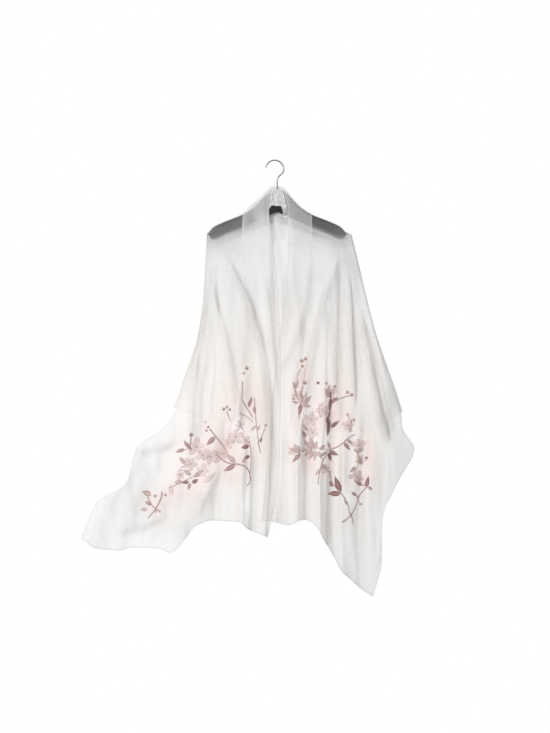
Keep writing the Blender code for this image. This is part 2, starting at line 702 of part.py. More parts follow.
def hook_route():
    """Centre line of the wire: round the arc from the tip, then down into the stem."""
    centre_z = HOOK_WIRE_RADIUS - HOOK_ARC_RADIUS
    route = []
    for step in range(HOOK_ARC_STEPS + 1):
        angle = math.radians(blend(HOOK_TIP_ANGLE, HOOK_LEAVE_ANGLE, step / HOOK_ARC_STEPS))
        route.append(Vector((HOOK_ARC_RADIUS * math.cos(angle), 0.0,
                             centre_z + HOOK_ARC_RADIUS * math.sin(angle))))
    leave = route[-1]
    arrive = Vector((HANGER_CENTRE_X, 0.0, STEM_TOP_Z))
    pull_out = leave + Vector((NECK_BEND_OUT[0], 0.0, NECK_BEND_OUT[1]))
    pull_in = arrive + Vector((0.0, 0.0, NECK_BEND_IN))
    for step in range(1, HOOK_NECK_STEPS + 1):
        share = step / HOOK_NECK_STEPS
        rest = 1.0 - share
        route.append(leave * rest ** 3 + pull_out * 3.0 * share * rest ** 2
                     + pull_in * 3.0 * share ** 2 * rest + arrive * share ** 3)
    stem_foot = hanger_top(HANGER_CENTRE_X) - STEM_HOLE_DEPTH + STEM_CLEARANCE
    route.append(Vector((HANGER_CENTRE_X, 0.0, stem_foot)))
    return route


def make_hook(material, collection):
    """The wire hook."""
    curve = bpy.data.curves.new("hanger_hook", "CURVE")
    curve.dimensions = "3D"
    curve.bevel_depth = HOOK_WIRE_RADIUS * MM
    curve.bevel_resolution = HOOK_BEVEL_RESOLUTION
    curve.use_fill_caps = True
    route = hook_route()
    line = curve.splines.new("POLY")
    line.points.add(len(route) - 1)
    for point, place in zip(line.points, route):
        point.co = (*(place * MM), 1.0)
    return add_object("hanger_hook", curve, material, collection)


def build():
    """Clear the scene and build the shawl and its hanger."""
    for thing in list(bpy.data.objects):
        bpy.data.objects.remove(thing)
    collection = new_collection(COLLECTION_NAME)
    cutters = new_collection(CUTTER_COLLECTION_NAME)
    make_hanger(make_material("hanger_black", HANGER_BLACK), collection, cutters)
    make_hook(make_material("wire_steel", WIRE_STEEL), collection)
    cloths = {}
    for name in ("back", "front_left", "front_right", "lapel_left", "lapel_right", "collar_back",
                 "neck_fold"):
        cloths[name] = make_material("sheer_" + name, SHEER_WHITE)
    make_back("shawl_back", cloths["back"], collection)
    make_front("shawl_front_left", LEFT_FRONT, cloths["front_left"], collection)
    make_front("shawl_front_right", RIGHT_FRONT, cloths["front_right"], collection)
    make_lapel("shawl_lapel_left", LEFT_FRONT, LAPEL_LEFT, cloths["lapel_left"], collection)
    make_lapel("shawl_lapel_right", RIGHT_FRONT, LAPEL_RIGHT, cloths["lapel_right"], collection)
    make_collar("shawl_collar_back", cloths["collar_back"], collection)
    make_neck_fold("shawl_neck_fold", cloths["neck_fold"], collection)


build()
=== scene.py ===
"""A sheer embroidered shawl on a clothes hanger: its cloth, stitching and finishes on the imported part."""

import math
from collections import namedtuple

import bmesh
import bpy
import numpy as np
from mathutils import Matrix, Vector
from mathutils.bvhtree import BVHTree


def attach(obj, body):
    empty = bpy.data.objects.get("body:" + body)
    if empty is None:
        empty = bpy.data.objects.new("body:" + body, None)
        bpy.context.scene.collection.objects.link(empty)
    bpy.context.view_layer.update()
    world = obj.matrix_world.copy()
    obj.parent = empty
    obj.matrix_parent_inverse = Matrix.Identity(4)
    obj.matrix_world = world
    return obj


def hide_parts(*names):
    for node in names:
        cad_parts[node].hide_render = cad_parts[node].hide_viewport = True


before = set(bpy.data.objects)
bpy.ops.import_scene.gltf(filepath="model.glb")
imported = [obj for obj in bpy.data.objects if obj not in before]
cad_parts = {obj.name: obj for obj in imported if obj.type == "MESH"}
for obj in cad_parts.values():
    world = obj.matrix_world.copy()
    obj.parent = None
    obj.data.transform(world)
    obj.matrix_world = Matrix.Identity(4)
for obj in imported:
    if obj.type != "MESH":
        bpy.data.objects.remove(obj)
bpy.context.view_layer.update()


# The hanger's body: one moulding of black plastic with a satin skin, contoured like shoulders.
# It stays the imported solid, and its skin has a fine moulded grain and a few dull rubbed patches.
def operator(operation, swapped=False):
    """One of a signal's arithmetic signs, as a maths node."""
    def work(self, other):
        return self.recipe.maths(operation, *((other, self) if swapped else (self, other)))
    return work


class Signal:
    """A shader socket that takes Python arithmetic, for a value that changes over a surface."""

    def __init__(self, recipe, socket):
        self.recipe = recipe
        self.socket = socket

    __add__, __radd__ = operator("ADD"), operator("ADD", True)
    __sub__, __rsub__ = operator("SUBTRACT"), operator("SUBTRACT", True)
    __mul__, __rmul__ = operator("MULTIPLY"), operator("MULTIPLY", True)
    __truediv__, __rtruediv__ = operator("DIVIDE"), operator("DIVIDE", True)
    __pow__, __rpow__ = operator("POWER"), operator("POWER", True)


class Recipe:
    """A material in the making, on its Principled shader."""

    def __init__(self, name, **flat):
        self.material = bpy.data.materials.new(name)
        self.material.use_nodes = True
        self.shader = self.material.node_tree.nodes["Principled BSDF"]
        self.set(**flat)

    def add(self, kind, settings=None, inputs=None, output=0):
        node = self.material.node_tree.nodes.new(kind)
        for name, value in (settings or {}).items():
            setattr(node, name, value)
        self.feed(node, inputs or {})
        return Signal(self, node.outputs[output])

    def feed(self, node, inputs):
        for name, value in inputs.items():
            if isinstance(value, Signal):
                self.material.node_tree.links.new(value.socket, node.inputs[name])
            else:
                node.inputs[name].default_value = value

    def set(self, **inputs):
        self.feed(self.shader, {name.replace("_", " "): value for name, value in inputs.items()})

    def maths(self, operation, *values):
        return self.add("ShaderNodeMath", {"operation": operation}, dict(enumerate(values)))

    def place(self):
        """Object coordinates."""
        return self.add("ShaderNodeTexCoord", output=3)

    def axis(self, vector, number):
        return self.add("ShaderNodeSeparateXYZ", {}, {0: vector}, output=number)

    def noise(self, place, scale, detail=3, roughness=0.55):
        return self.add("ShaderNodeTexNoise", {}, {"Vector": place, "Scale": scale, "Detail": detail,
                                                   "Roughness": roughness})

    def stretched(self, place, scales):
        return self.add("ShaderNodeVectorMath", {"operation": "MULTIPLY"}, {0: place, 1: scales})

    def between(self, value, low, high):
        settings = {"clamp": True, "interpolation_type": "SMOOTHSTEP"}
        return self.add("ShaderNodeMapRange", settings, {"Value": value, "From Min": low, "From Max": high})

    def tint(self, share, first, second):
        return self.add("ShaderNodeMix", {"data_type": "RGBA"}, {0: share, 6: first, 7: second}, output=2)

    def raised(self, height, distance):
        return self.add("ShaderNodeBump", {}, {"Height": height, "Distance": distance, "Strength": 1})


def finish_solid(node, material):
    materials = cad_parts[node].data.materials
    materials.clear()
    materials.append(material)


def moulded_plastic():
    recipe = Recipe("hanger_satin_black", Specular_IOR_Level=0.45)
    place = recipe.place()
    grain = recipe.noise(place, 900, detail=4)
    rubbed = recipe.between(recipe.noise(place, 14), 0.48, 0.7)
    recipe.set(Base_Color=recipe.tint(rubbed, (0.011, 0.011, 0.012, 1), (0.022, 0.022, 0.024, 1)),
               Roughness=0.34 + 0.16 * rubbed + 0.08 * grain,
               Normal=recipe.raised(grain, 0.00012))
    return recipe.material


finish_solid("hanger_body", moulded_plastic())


# The hook: steel wire about 4 mm thick, bent round and screwed into the hanger's neck.
# It is bright plated, with faint drawing lines along the wire and a little tarnish.
def plated_wire():
    recipe = Recipe("hook_plated_wire", Metallic=1)
    place = recipe.place()
    tarnish = recipe.between(recipe.noise(place, 60), 0.4, 0.75)
    drawn = recipe.noise(recipe.stretched(place, (1, 1, 0.2)), 700, detail=2)
    recipe.set(Base_Color=recipe.tint(tarnish, (0.34, 0.335, 0.32, 1), (0.21, 0.205, 0.19, 1)),
               Roughness=0.46 + 0.14 * tarnish + 0.06 * drawn,
               Normal=recipe.raised(drawn, 0.00008))
    return recipe.material


finish_solid("hanger_hook", plated_wire())


# The back of the shawl: the middle of one woven length, laid over the hanger and hanging down
# behind it. The cloth is a sheer plain weave of fine off-white thread, so it shows what is behind.
MM = 0.001
CLOTH_THICKNESS = 0.0005
HANGER_CENTRE_X = 7.5
HANGER_HALF_THICKNESS = 6
OVER_ARM_RADIUS = 7.3
SEAM_HALF_GAP = 0.45
STEM_PASS_HALF_WIDTH = 16
STEM_PASS_DEPTH = 3
BACK_COVER = 0.125
BACK_COLUMNS = 170
BACK_ROWS = 120
SIDE_SHARE = 0.955
SIDE_COLUMNS = 10
TURN_ROWS = 8
GATHER_LIMIT = 2.1
RIDGE_EASE = 0.25
HANGER_SHADE = 3.6
SHADE_REACH = 30
LEAST_CLOSENESS = 0.25
EDGE_PLIES = 0.35
EDGE_WIDTH = 5
BLUSH_REACH = 2.1
BLUSH_SHARE = 0.68
BLUSH_CLOSENESS = 0.45
CREST_SHIFT = 0.8
PLY_AND_SHADE_SHARPNESS = 2.2
THREAD_WAVES = 7000
THREAD_RELIEF = 0.00003

Row = namedtuple("Row", "key value")


def rows_of(kind, *rows):
    return tuple(kind(*row) for row in rows)


# the hanger's outline by distance from its centre, and how far the cloth stands off it by x
HANGER_TOP = rows_of(Row, (0, -84), (13, -85.5), (26, -95), (40, -108), (66, -135), (101, -158), (155, -180),
                     (190, -197), (206, -216))
HANGER_FOOT = rows_of(Row, (0, -151), (20, -159), (60, -178), (101, -197), (155, -219), (186, -232),
                      (201, -230), (206, -216))
RIDGE_LIFT = rows_of(Row, (-201, 0), (-186, 2), (-147, 0.3), (-94, 4), (-58, 13), (-38, 9), (-14, 11),
                     (25, 8), (48, 3), (75, 1), (110, 0.3), (164, 3), (202, 4), (229, 0))
# the side folds, x by height
SIDE_LEFT = rows_of(Row, (-222, -201), (-323, -206), (-412, -212), (-530, -230), (-619, -260), (-696, -286),
                    (-730, -301))
SIDE_RIGHT = rows_of(Row, (-225, 229), (-299, 247), (-382, 267), (-501, 297), (-589, 326), (-672, 356),
                     (-743, 380))
# the back's hem by share across, and its depth and the width of its side turns by share down
BACK_HEM = rows_of(Row, (0, 0), (0.06, -18), (0.15, -36), (0.30, -50), (0.45, -56), (0.70, -66), (0.85, -58),
                   (0.95, -26), (1, 0))
BACK_DEPTH = rows_of(Row, (0, 7.3), (0.1, 7.6), (0.4, 18), (0.75, 26), (1, 31))
BACK_TURN = rows_of(Row, (0, 7.3), (0.1, 8), (0.4, 20), (0.75, 28), (1, 30))

# The last column of a fold gives extra layers along its line. These close the weave there and also darken
# the cloth's colour along it as painted shade.
Fold = namedtuple("Fold", "top_x top_z mid_x mid_z foot_x foot_z half_width depth lean plies")
# The first back fold darkens a band seen through the opening. The last two have no depth and only darken the
# back along the hanger's foot. All three are painted shade.
BACK_FOLDS = rows_of(
    Fold,
    (-12, -120, -6, -330, 4, -560, 11, 3, 0, 0.9), (-168, -250, -196, -470, -236, -860, 20, 11, -6, 0.4),
    (-118, -240, -140, -470, -168, -860, 20, -9, 4, 0.1), (-62, -210, -78, -470, -96, -860, 22, 12, 6, 0.3),
    (-14, -220, -20, -470, -28, -860, 18, -9, 0, 0.2), (34, -210, 40, -470, 48, -860, 20, 11, -5, 0.3),
    (84, -230, 98, -470, 118, -860, 20, -9, 3, 0.1), (134, -240, 160, -470, 196, -860, 21, 12, 7, 0.4),
    (188, -270, 226, -480, 282, -860, 22, -9, 0, 0.2), (-220, -480, -238, -640, -268, -840, 12, 6, 3, 0.2),
    (12, -420, 16, -600, 18, -850, 10, 6, 3, 0.2), (176, -430, 208, -620, 240, -850, 11, 6, -3, 0.2),
    (-36, -140, 46, -182, 120, -212, 13, 0, 0, 1.1), (50, -140, -38, -184, -104, -208, 12, 0, 0, 1.1),
)
# how long each small wave is across and down the cloth, its height and its start
FLUTTER = (
    (46, 390, 1.3, 0.4), (71, -520, 1.6, 2.1), (29, 260, 0.6, 4.4), (118, 330, 1.4, 1.2),
    (37, -310, 0.7, 5.3),
)

Patch = namedtuple("Patch", "x z half_width half_height more")
# where the weave is drawn closer together or stretched thinner than round about; the patches just under the
# hanger's arms are painted shade
DRAWN_PATCHES = rows_of(
    Patch,
    (-128, -262, 60, 30, 0.7), (205, -285, 42, 60, 1.3), (110, -250, 50, 30, 0.4),
    (-130, -710, 75, 150, 0.9), (-78, -560, 26, 110, 1), (-31, -705, 17, 100, 1.1),
    (-170, -880, 70, 50, 0.2), (-312, -1018, 100, 70, 1.3), (185, -720, 22, 50, 0.6),
    (215, -640, 60, 120, 0.6), (296, -960, 16, 70, 0.8), (240, -890, 38, 95, -1.1),
    (-120, -805, 34, 45, -0.9), (-190, -960, 30, 30, -0.3), (350, -900, 20, 100, -0.8),
    (278, -540, 18, 120, -0.6), (62, -400, 30, 110, 0.8), (155, -560, 16, 90, -0.5),
    (240, -345, 16, 90, 0.8), (16, -920, 24, 130, -0.8), (205, -1150, 24, 90, -0.8),
    (120, -640, 16, 60, -0.5), (-108, -778, 14, 45, -0.9), (-58, -700, 18, 55, 0.6),
    (-82, -1008, 22, 48, -0.7), (132, -870, 20, 75, -0.7), (86, -620, 20, 50, 0.5), (110, -896, 17, 28, 0.6),
    (64, -866, 18, 50, -0.8), (158, -752, 14, 28, 0.8), (118, -668, 16, 50, 0.4), (206, -992, 18, 30, -0.5),
    (-130, -376, 16, 60, 0.4), (300, -900, 20, 85, 0.7), (56, -236, 34, 20, 0.6), (-126, -236, 20, 18, 0.4),
    (-174, -470, 20, 60, 0.35), (-36, -462, 18, 46, -0.5), (196, -400, 16, 40, 0.4),
    (156, -424, 14, 36, -0.4), (-174, -742, 24, 70, 0.5), (-32, -770, 20, 85, 0.5),
    (-310, -1086, 90, 28, 0.6), (-220, -990, 26, 30, 0.6), (-126, -942, 18, 24, 0.5),
)


def ease(low, high, value):
    """0 below low, 1 above high and a smooth rise between."""
    share = np.clip((value - low) / (high - low), 0, 1)
    return share * share * (3 - 2 * share)


def mix(first, second, share):
    return first + (second - first) * share


def read_table(rows, value):
    """The table's value at each of these keys, on a smooth curve without overshoot."""
    known = np.array(sorted(rows), float)
    keys, levels = known[:, 0], known[:, 1]
    widths = np.diff(keys)
    slopes = np.diff(levels) / widths
    before, after = slopes[:-1], slopes[1:]
    same_way = before * after > 0
    middle = np.where(same_way, 2 * before * after / np.where(same_way, before + after, 1), 0)
    tangents = np.concatenate((slopes[:1], middle, slopes[-1:]))
    value = np.clip(value, keys[0], keys[-1])
    index = np.clip(np.searchsorted(keys, value, side="right") - 1, 0, len(widths) - 1)
    share = (value - keys[index]) / widths[index]
    rest = 1 - share
    return (levels[index] * (1 + 2 * share) * rest * rest
            + levels[index + 1] * (3 - 2 * share) * share * share
            + tangents[index] * widths[index] * share * rest * rest
            - tangents[index + 1] * widths[index] * share * share * rest)


def hanger_ridge(x):
    """Height of the cloth's middle where it passes over the hanger, and past its tips."""
    out = np.abs(x - HANGER_CENTRE_X)
    lifted = read_table(HANGER_TOP, out) + OVER_ARM_RADIUS - HANGER_HALF_THICKNESS
    lifted = lifted + read_table(RIDGE_LIFT, x)
    side_x = np.where(x > HANGER_CENTRE_X, SIDE_RIGHT[0].value, SIDE_LEFT[0].value)
    side_z = np.where(x > HANGER_CENTRE_X, SIDE_RIGHT[0].key, SIDE_LEFT[0].key)
    past_tip = ease(HANGER_TOP[-1].key, np.abs(side_x - HANGER_CENTRE_X), out)
    return mix(lifted, side_z + OVER_ARM_RADIUS, past_tip)


def seam_offset(x):
    """Half the gap between front and back on top, wider where the hook's stem passes."""
    return SEAM_HALF_GAP + STEM_PASS_DEPTH * soft_band(x - HANGER_CENTRE_X, STEM_PASS_HALF_WIDTH)


def along_fold(fold, x, z):
    """How much of a fold is at each place: its full swell on its line, and less beside it."""
    run_x, run_z = fold.foot_x - fold.top_x, fold.foot_z - fold.top_z
    length = math.hypot(run_x, run_z)
    run_x, run_z = run_x / length, run_z / length
    mid_along = ((fold.mid_x - fold.top_x) * run_x + (fold.mid_z - fold.top_z) * run_z) / length
    mid_off = (fold.mid_z - fold.top_z) * run_x - (fold.mid_x - fold.top_x) * run_z
    along = ((x - fold.top_x) * run_x + (z - fold.top_z) * run_z) / length
    off = (z - fold.top_z) * run_x - (x - fold.top_x) * run_z
    bow = mid_off * along * (1 - along) / (mid_along * (1 - mid_along))
    fade = ease(0, 0.3, along) * (1 - ease(1, 1.25, along))
    half_width = fold.half_width * mix(0.7, 1, np.clip(along, 0, 1.25))
    return fade * soft_band(off - bow, half_width)


def folded(folds, x, z):
    """How far the folds move the cloth out, and how far their crests lean sideways."""
    swells = [along_fold(fold, x, z) for fold in folds]
    out = sum(fold.depth * swell for fold, swell in zip(folds, swells))
    aside = sum(fold.lean * swell for fold, swell in zip(folds, swells))
    return out, aside


def plies_and_shade_on(folds, points):
    """How many more layers lie over each other along the folds' lines; the same amount is painted shade that
    darkens the cloth's colour along them.
    """
    x, z = seen_at(points)
    return sum((fold.plies * along_fold(fold, x - CREST_SHIFT * fold.lean, z) ** PLY_AND_SHADE_SHARPNESS
                for fold in folds), np.zeros_like(x))


def flutter(x, z):
    """Small soft waves that no fold line gives."""
    total = np.zeros_like(x)
    for wide, tall, height, start in FLUTTER:
        total += height * np.sin(2 * math.pi * (x / wide + z / tall) + start)
    return total


def round_turn(distance, width):
    """Share of the full depth left at this distance from a side fold."""
    short = 1 - np.clip(distance / width, 0, 1)
    return np.sqrt(np.clip(1 - short * short, 0, 1))


def over_arm(x, z, depth, turn, down):
    """Depth and height of the cloth: round its turn over the arm where down is under 0, then below."""
    seam = seam_offset(x)
    angle = mix(math.pi / 2, np.arcsin(seam / OVER_ARM_RADIUS), np.maximum(-down, 0))
    arm_depth = np.maximum(OVER_ARM_RADIUS * np.sin(angle) * turn, seam)
    hung_depth = SEAM_HALF_GAP + (depth - SEAM_HALF_GAP) * turn
    on_arm = down < 0
    return np.where(on_arm, arm_depth, hung_depth), np.where(on_arm, z + OVER_ARM_RADIUS * np.cos(angle), z)


def back_surface(across, down):
    """Points of the back. Down runs from -1 on top of the hanger, by 0 under its turn, to the hem."""
    share = np.maximum(down, 0)
    left_z = mix(SIDE_LEFT[0].key, SIDE_LEFT[-1].key, share)
    right_z = mix(SIDE_RIGHT[0].key, SIDE_RIGHT[-1].key, share)
    left_x, right_x = read_table(SIDE_LEFT, left_z), read_table(SIDE_RIGHT, right_z)
    x = mix(left_x, right_x, across)
    top_x = mix(SIDE_LEFT[0].value, SIDE_RIGHT[0].value, across)
    top_line = mix(SIDE_LEFT[0].key, SIDE_RIGHT[0].key, across)
    z = mix(left_z, right_z, across) + (hanger_ridge(top_x) - OVER_ARM_RADIUS - top_line) * (1 - share)
    z = z + read_table(BACK_HEM, across) * share ** 3
    out, aside = folded(BACK_FOLDS, x, z)
    inside = ease(0, 0.08, across) * ease(0, 0.08, 1 - across)
    depth = read_table(BACK_DEPTH, share) + out + flutter(x, z) * ease(0.05, 0.3, share)
    turn = round_turn(np.minimum(across, 1 - across) * (right_x - left_x), read_table(BACK_TURN, share))
    y, z = over_arm(x, z, depth, turn, down)
    x = x + aside * inside * ease(0, 0.2, share)
    return np.stack((x, y, z), axis=-1) * MM


def thread_grid(columns, rows, surface):
    """A stretch of cloth as a grid of points, by column places across and row places down."""
    across, down = np.meshgrid(np.array(columns), np.array(rows))
    return surface(across, down)


def seen_at(points):
    """Where points are seen from in front, in mm."""
    return points[..., 0] / MM, points[..., 2] / MM


def soft_band(distance, reach):
    """1 on a line, and a soft fall to nothing beside it."""
    return np.exp(-(distance / reach) ** 2)


def spot(x, z, at_x, at_z, half_width, half_height):
    """1 at a place, and a soft fall to nothing round it."""
    return np.exp(-((x - at_x) / half_width) ** 2 - ((z - at_z) / half_height) ** 2)


def facing(points):
    """Unit normals of a grid of points."""
    run = np.gradient(points, axis=1)
    fall = np.gradient(points, axis=0)
    normal = np.cross(run, fall)
    return normal / np.maximum(np.linalg.norm(normal, axis=-1, keepdims=True), 1e-12)


def cream_and_light_share(points):
    """The share of the cloth's yellowish off-white tint with painted light: its middle is yellowish and
    painted lighter, and its shoulders and points are painted cool grey as painted shade.
    """
    x, z = seen_at(points)
    below_shoulders = 1 - ease(-720, -260, z)
    above_point = ease(-1210, -1040, z)
    above_foot = 0.5 + 0.5 * ease(-1000, -860, z)
    aside = (1 - ease(200, 400, x)) * ease(-500, -230, x)
    return below_shoulders * above_point * above_foot * aside


def thin_ridge(x, z):
    """The cloth is spread thin along its middle, where it stands a little off the hanger's top."""
    return 0.55 + 0.45 * ease(3, 15, hanger_ridge(x) - z)


def weave_closeness(points):
    """How close the threads look: closer over the shoulders, at the ends and to the lower right. The closer
    weave over the shoulders and just under the hanger's arms is painted shade, and up the right side it is
    partly painted shade.
    """
    x, z = seen_at(points)
    shoulders = ease(-480, -210, z)
    left_shoulder = ease(-60, -130, x) * ease(-480, -340, z) * (1 - ease(-262, -238, z))
    right_side = ease(90, 250, x) * (1 - ease(-500, -340, z))
    end = (1 - ease(-900, -700, z)) * (1 - ease(120, 330, np.abs(x)))
    lower_right = ease(150, 330, x) * (1 - ease(-800, -640, z))
    thin = spot(x, z, -220, -690, 90, 110)
    over_foot = read_table(HANGER_FOOT, np.abs(x - HANGER_CENTRE_X)) - z
    on_arm = ease(80, 110, np.abs(x)) * (1 - ease(206, 222, np.abs(x - HANGER_CENTRE_X)))
    over_arm_share = 0.5 + 0.25 * ease(60, 90, x)
    arm_foot = on_arm * (1.2 * soft_band(over_foot - 7, 8) - over_arm_share * ease(0, -12, over_foot))
    patches = sum(patch.more * spot(x, z, *patch[:4]) for patch in DRAWN_PATCHES)
    total = 1 + 0.3 * shoulders + 0.25 * left_shoulder + 0.5 * right_side + 0.55 * end
    total = total + 0.9 * lower_right - 0.3 * thin + arm_foot + patches
    return np.maximum(total, LEAST_CLOSENESS) * thin_ridge(x, z)


def back_closeness(points):
    """The back's weave is drawn closer under the hanger's foot and behind the opening and the neck, as
    painted shade; it thins towards its hem, and is lost to sight there.
    """
    x, z = seen_at(points)
    below = read_table(HANGER_FOOT, np.abs(x - HANGER_CENTRE_X)) - z
    # painted shade: closer weave below the hanger's foot, and behind the opening and the neck
    shaded = HANGER_SHADE * soft_band(np.maximum(below, 0), SHADE_REACH) * ease(-9, -1, below)
    middle = soft_band(x - 12, 26)
    behind_opening = 0.5 * middle * ease(-560, -380, z)
    behind_neck = 2.4 * middle * (ease(-260, -160, z) * (1 - ease(-145, -125, z)))
    behind_front = ease(-275, -225, x) * (1 - ease(290, 335, x))
    hem_share = mix(0.6, 0.24, behind_front)
    fading = hem_share + (1 - hem_share) * ease(-760, -430, z)
    return weave_closeness(points) * fading + shaded + behind_opening + behind_neck


Blossom = namedtuple("Blossom", "x z radius turn")


def blush_round(flowers, points):
    """How pink the cloth is: the thread's colour glows softly round the embroidered flowers."""
    x, z = seen_at(points)
    clear = np.ones_like(x)
    for flower in flowers:
        reach = BLUSH_REACH * flower.radius
        clear *= 1 - BLUSH_SHARE * np.exp(-((x - flower.x) ** 2 + (z - flower.z) ** 2) / reach ** 2)
    return 1 - clear


def finished_mesh(name, shape, materials):
    mesh = bpy.data.meshes.new(name)
    shape.to_mesh(mesh)
    shape.free()
    for material in materials:
        mesh.materials.append(material)
    return mesh


def put_in_scene(name, data):
    placed = bpy.data.objects.new(name, data)
    bpy.context.scene.collection.objects.link(placed)
    return placed


def lay_cloth(name, points, material, folds=(), closeness=weave_closeness, rim=EDGE_PLIES, flowers=()):
    """A thin woven shell on a grid of points, with its threads' own map and its looks by place."""
    rows, columns = points.shape[:2]
    gather = np.clip(1 / np.maximum(np.abs(facing(points)[..., 1]), 1e-3), 1, GATHER_LIMIT)
    gather[:TURN_ROWS + 1] **= RIDGE_EASE
    steps = np.linalg.norm(np.diff(points, axis=1), axis=-1).mean(axis=0)
    falls = np.linalg.norm(np.diff(points, axis=0), axis=-1).mean(axis=1)
    thread_u = np.concatenate(([0], np.cumsum(steps)))
    thread_v = np.concatenate(([0], np.cumsum(falls)))
    from_side = np.minimum(thread_u, thread_u[-1] - thread_u)[None, :]
    from_edge = np.minimum(from_side, (thread_v[-1] - thread_v)[:, None]) / MM
    edge = rim * soft_band(from_edge, EDGE_WIDTH)
    blush = blush_round(flowers, points)
    plies = plies_and_shade_on(folds, points)
    looks = {"gather": gather, "cream_and_light": cream_and_light_share(points), "blush": blush, "painted_fold_shade": np.tanh(plies),
             "closeness": closeness(points) * (1 + plies + edge + BLUSH_CLOSENESS * blush)}
    shape = bmesh.new()
    bmesh.ops.create_grid(shape, x_segments=columns - 1, y_segments=rows - 1, size=0.5)
    for look in looks:
        shape.verts.layers.float.new(look)
    layers = {look: shape.verts.layers.float[look] for look in looks}
    threads = shape.loops.layers.uv.new("threads")
    place = {vert: (round((vert.co.x + 0.5) * (columns - 1)), round((0.5 - vert.co.y) * (rows - 1)))
             for vert in shape.verts}
    for vert, (column, row) in place.items():
        vert.co = points[row, column]
        for look, layer in layers.items():
            vert[layer] = looks[look][row, column]
    for face in shape.faces:
        for loop in face.loops:
            column, row = place[loop.vert]
            loop[threads].uv = (thread_u[column], thread_v[row])
    bmesh.ops.recalc_face_normals(shape, faces=shape.faces)
    mesh = finished_mesh(name, shape, (material,))
    mesh.shade_smooth()
    piece = put_in_scene(name, mesh)
    wall = piece.modifiers.new("cloth", "SOLIDIFY")
    wall.thickness = CLOTH_THICKNESS
    wall.offset = 0
    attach(piece, "root")
    return piece


# By default the cool grey is the cloth's painted shade tone, and the yellowish off-white is its own tint
# painted lighter as painted light.
def sheer_weave(name, cover, cool=(0.80, 0.80, 0.795, 1), cream_and_light=(0.925, 0.845, 0.775, 1)):
    """Sheer plain weave. Cover is the share of one wall of the shell that thread fills."""
    recipe = Recipe(name, Roughness=0.62, Sheen_Weight=0.2, Sheen_Roughness=0.4)
    threads = recipe.add("ShaderNodeUVMap", {"uv_map": "threads"})
    gather, warm_and_lit, blush, painted_fold_shade, closeness = (
        recipe.add("ShaderNodeAttribute", {"attribute_name": look}, output=2)
        for look in ("gather", "cream_and_light", "blush", "painted_fold_shade", "closeness"))
    warp, weft = (recipe.maths("SINE", recipe.axis(threads, number) * THREAD_WAVES) for number in (0, 1))
    slub_warp = recipe.noise(recipe.stretched(threads, (700, 9, 1)), 1, detail=2)
    slub_weft = recipe.noise(recipe.stretched(threads, (7, 600, 1)), 1, detail=2)
    slub = recipe.between(slub_warp, 0.52, 0.78) + recipe.between(slub_weft, 0.52, 0.78)
    cloud = recipe.noise(recipe.stretched(threads, (9, 5, 1)), 1, detail=3)
    crinkle = recipe.noise(recipe.stretched(threads, (75, 42, 1)), 1, detail=2)
    thread_cover = cover * closeness * (0.74 + 0.03 * slub + 0.16 * cloud + 0.32 * crinkle)
    # Base colour between the cool grey and the yellowish off-white by place: the cloth's own tint, with
    # painted light in its middle and painted shade on its shoulders and points.
    dyed_and_lit = recipe.tint(warm_and_lit + 0.3 * (cloud - 0.5), cool, cream_and_light)
    glowing = recipe.tint(blush, dyed_and_lit, (1, 0.765, 0.72, 1))
    # Base colour: towards dark grey along the folds' lines, as painted shade in the folds.
    recipe.set(Base_Color=recipe.tint(0.7 * painted_fold_shade, glowing, (0.56, 0.55, 0.535, 1)),
               Alpha=1 - (1 - thread_cover) ** gather,
               Normal=recipe.raised(warp + weft + 2 * slub, THREAD_RELIEF))
    return recipe.material


def side_columns(count, both_sides):
    """Column places, closer together where the cloth turns at a side."""
    fine = 1 - (1 - SIDE_SHARE) * (1 - np.arange(1, SIDE_COLUMNS + 1) / SIDE_COLUMNS) ** 2
    if not both_sides:
        return np.concatenate((np.linspace(0, SIDE_SHARE, count + 1), fine))
    return np.concatenate((1 - fine[::-1], np.linspace(1 - SIDE_SHARE, SIDE_SHARE, count + 1), fine))


def fall_rows(count, last=1):
    """Row places: the turn over the arm, then even steps down to the hem."""
    return np.concatenate((np.arange(TURN_ROWS) / TURN_ROWS - 1, np.linspace(0, last, count + 1)))


back_points = thread_grid(side_columns(BACK_COLUMNS, True), fall_rows(BACK_ROWS), back_surface)
back = lay_cloth("back_cloth", back_points, sheer_weave("sheer_weave_back", BACK_COVER), BACK_FOLDS,
                 back_closeness, rim=0)
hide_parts("shawl_back")


# The left front: the shawl's left end, brought forward over the hanger's arm. It spreads to a
# point at the lower left and laps a little over the right front below the opening.
FRONT_DEPTH = rows_of(Row, (0, 7.3), (0.05, 7.6), (0.2, 18), (0.45, 32), (0.7, 44), (1, 54))
FRONT_TURN = rows_of(Row, (0, 7.3), (0.05, 8), (0.2, 16), (0.45, 30), (0.7, 34), (1, 34))
LAP_ACROSS = 0.22
LEFT_COLUMNS = 220
LEFT_ROWS = 150
HEM_RADIUS = 0.8
HEM_STEP = 2
SIDE_HEM_ROW = 90
FRONT_COVER = 0.13

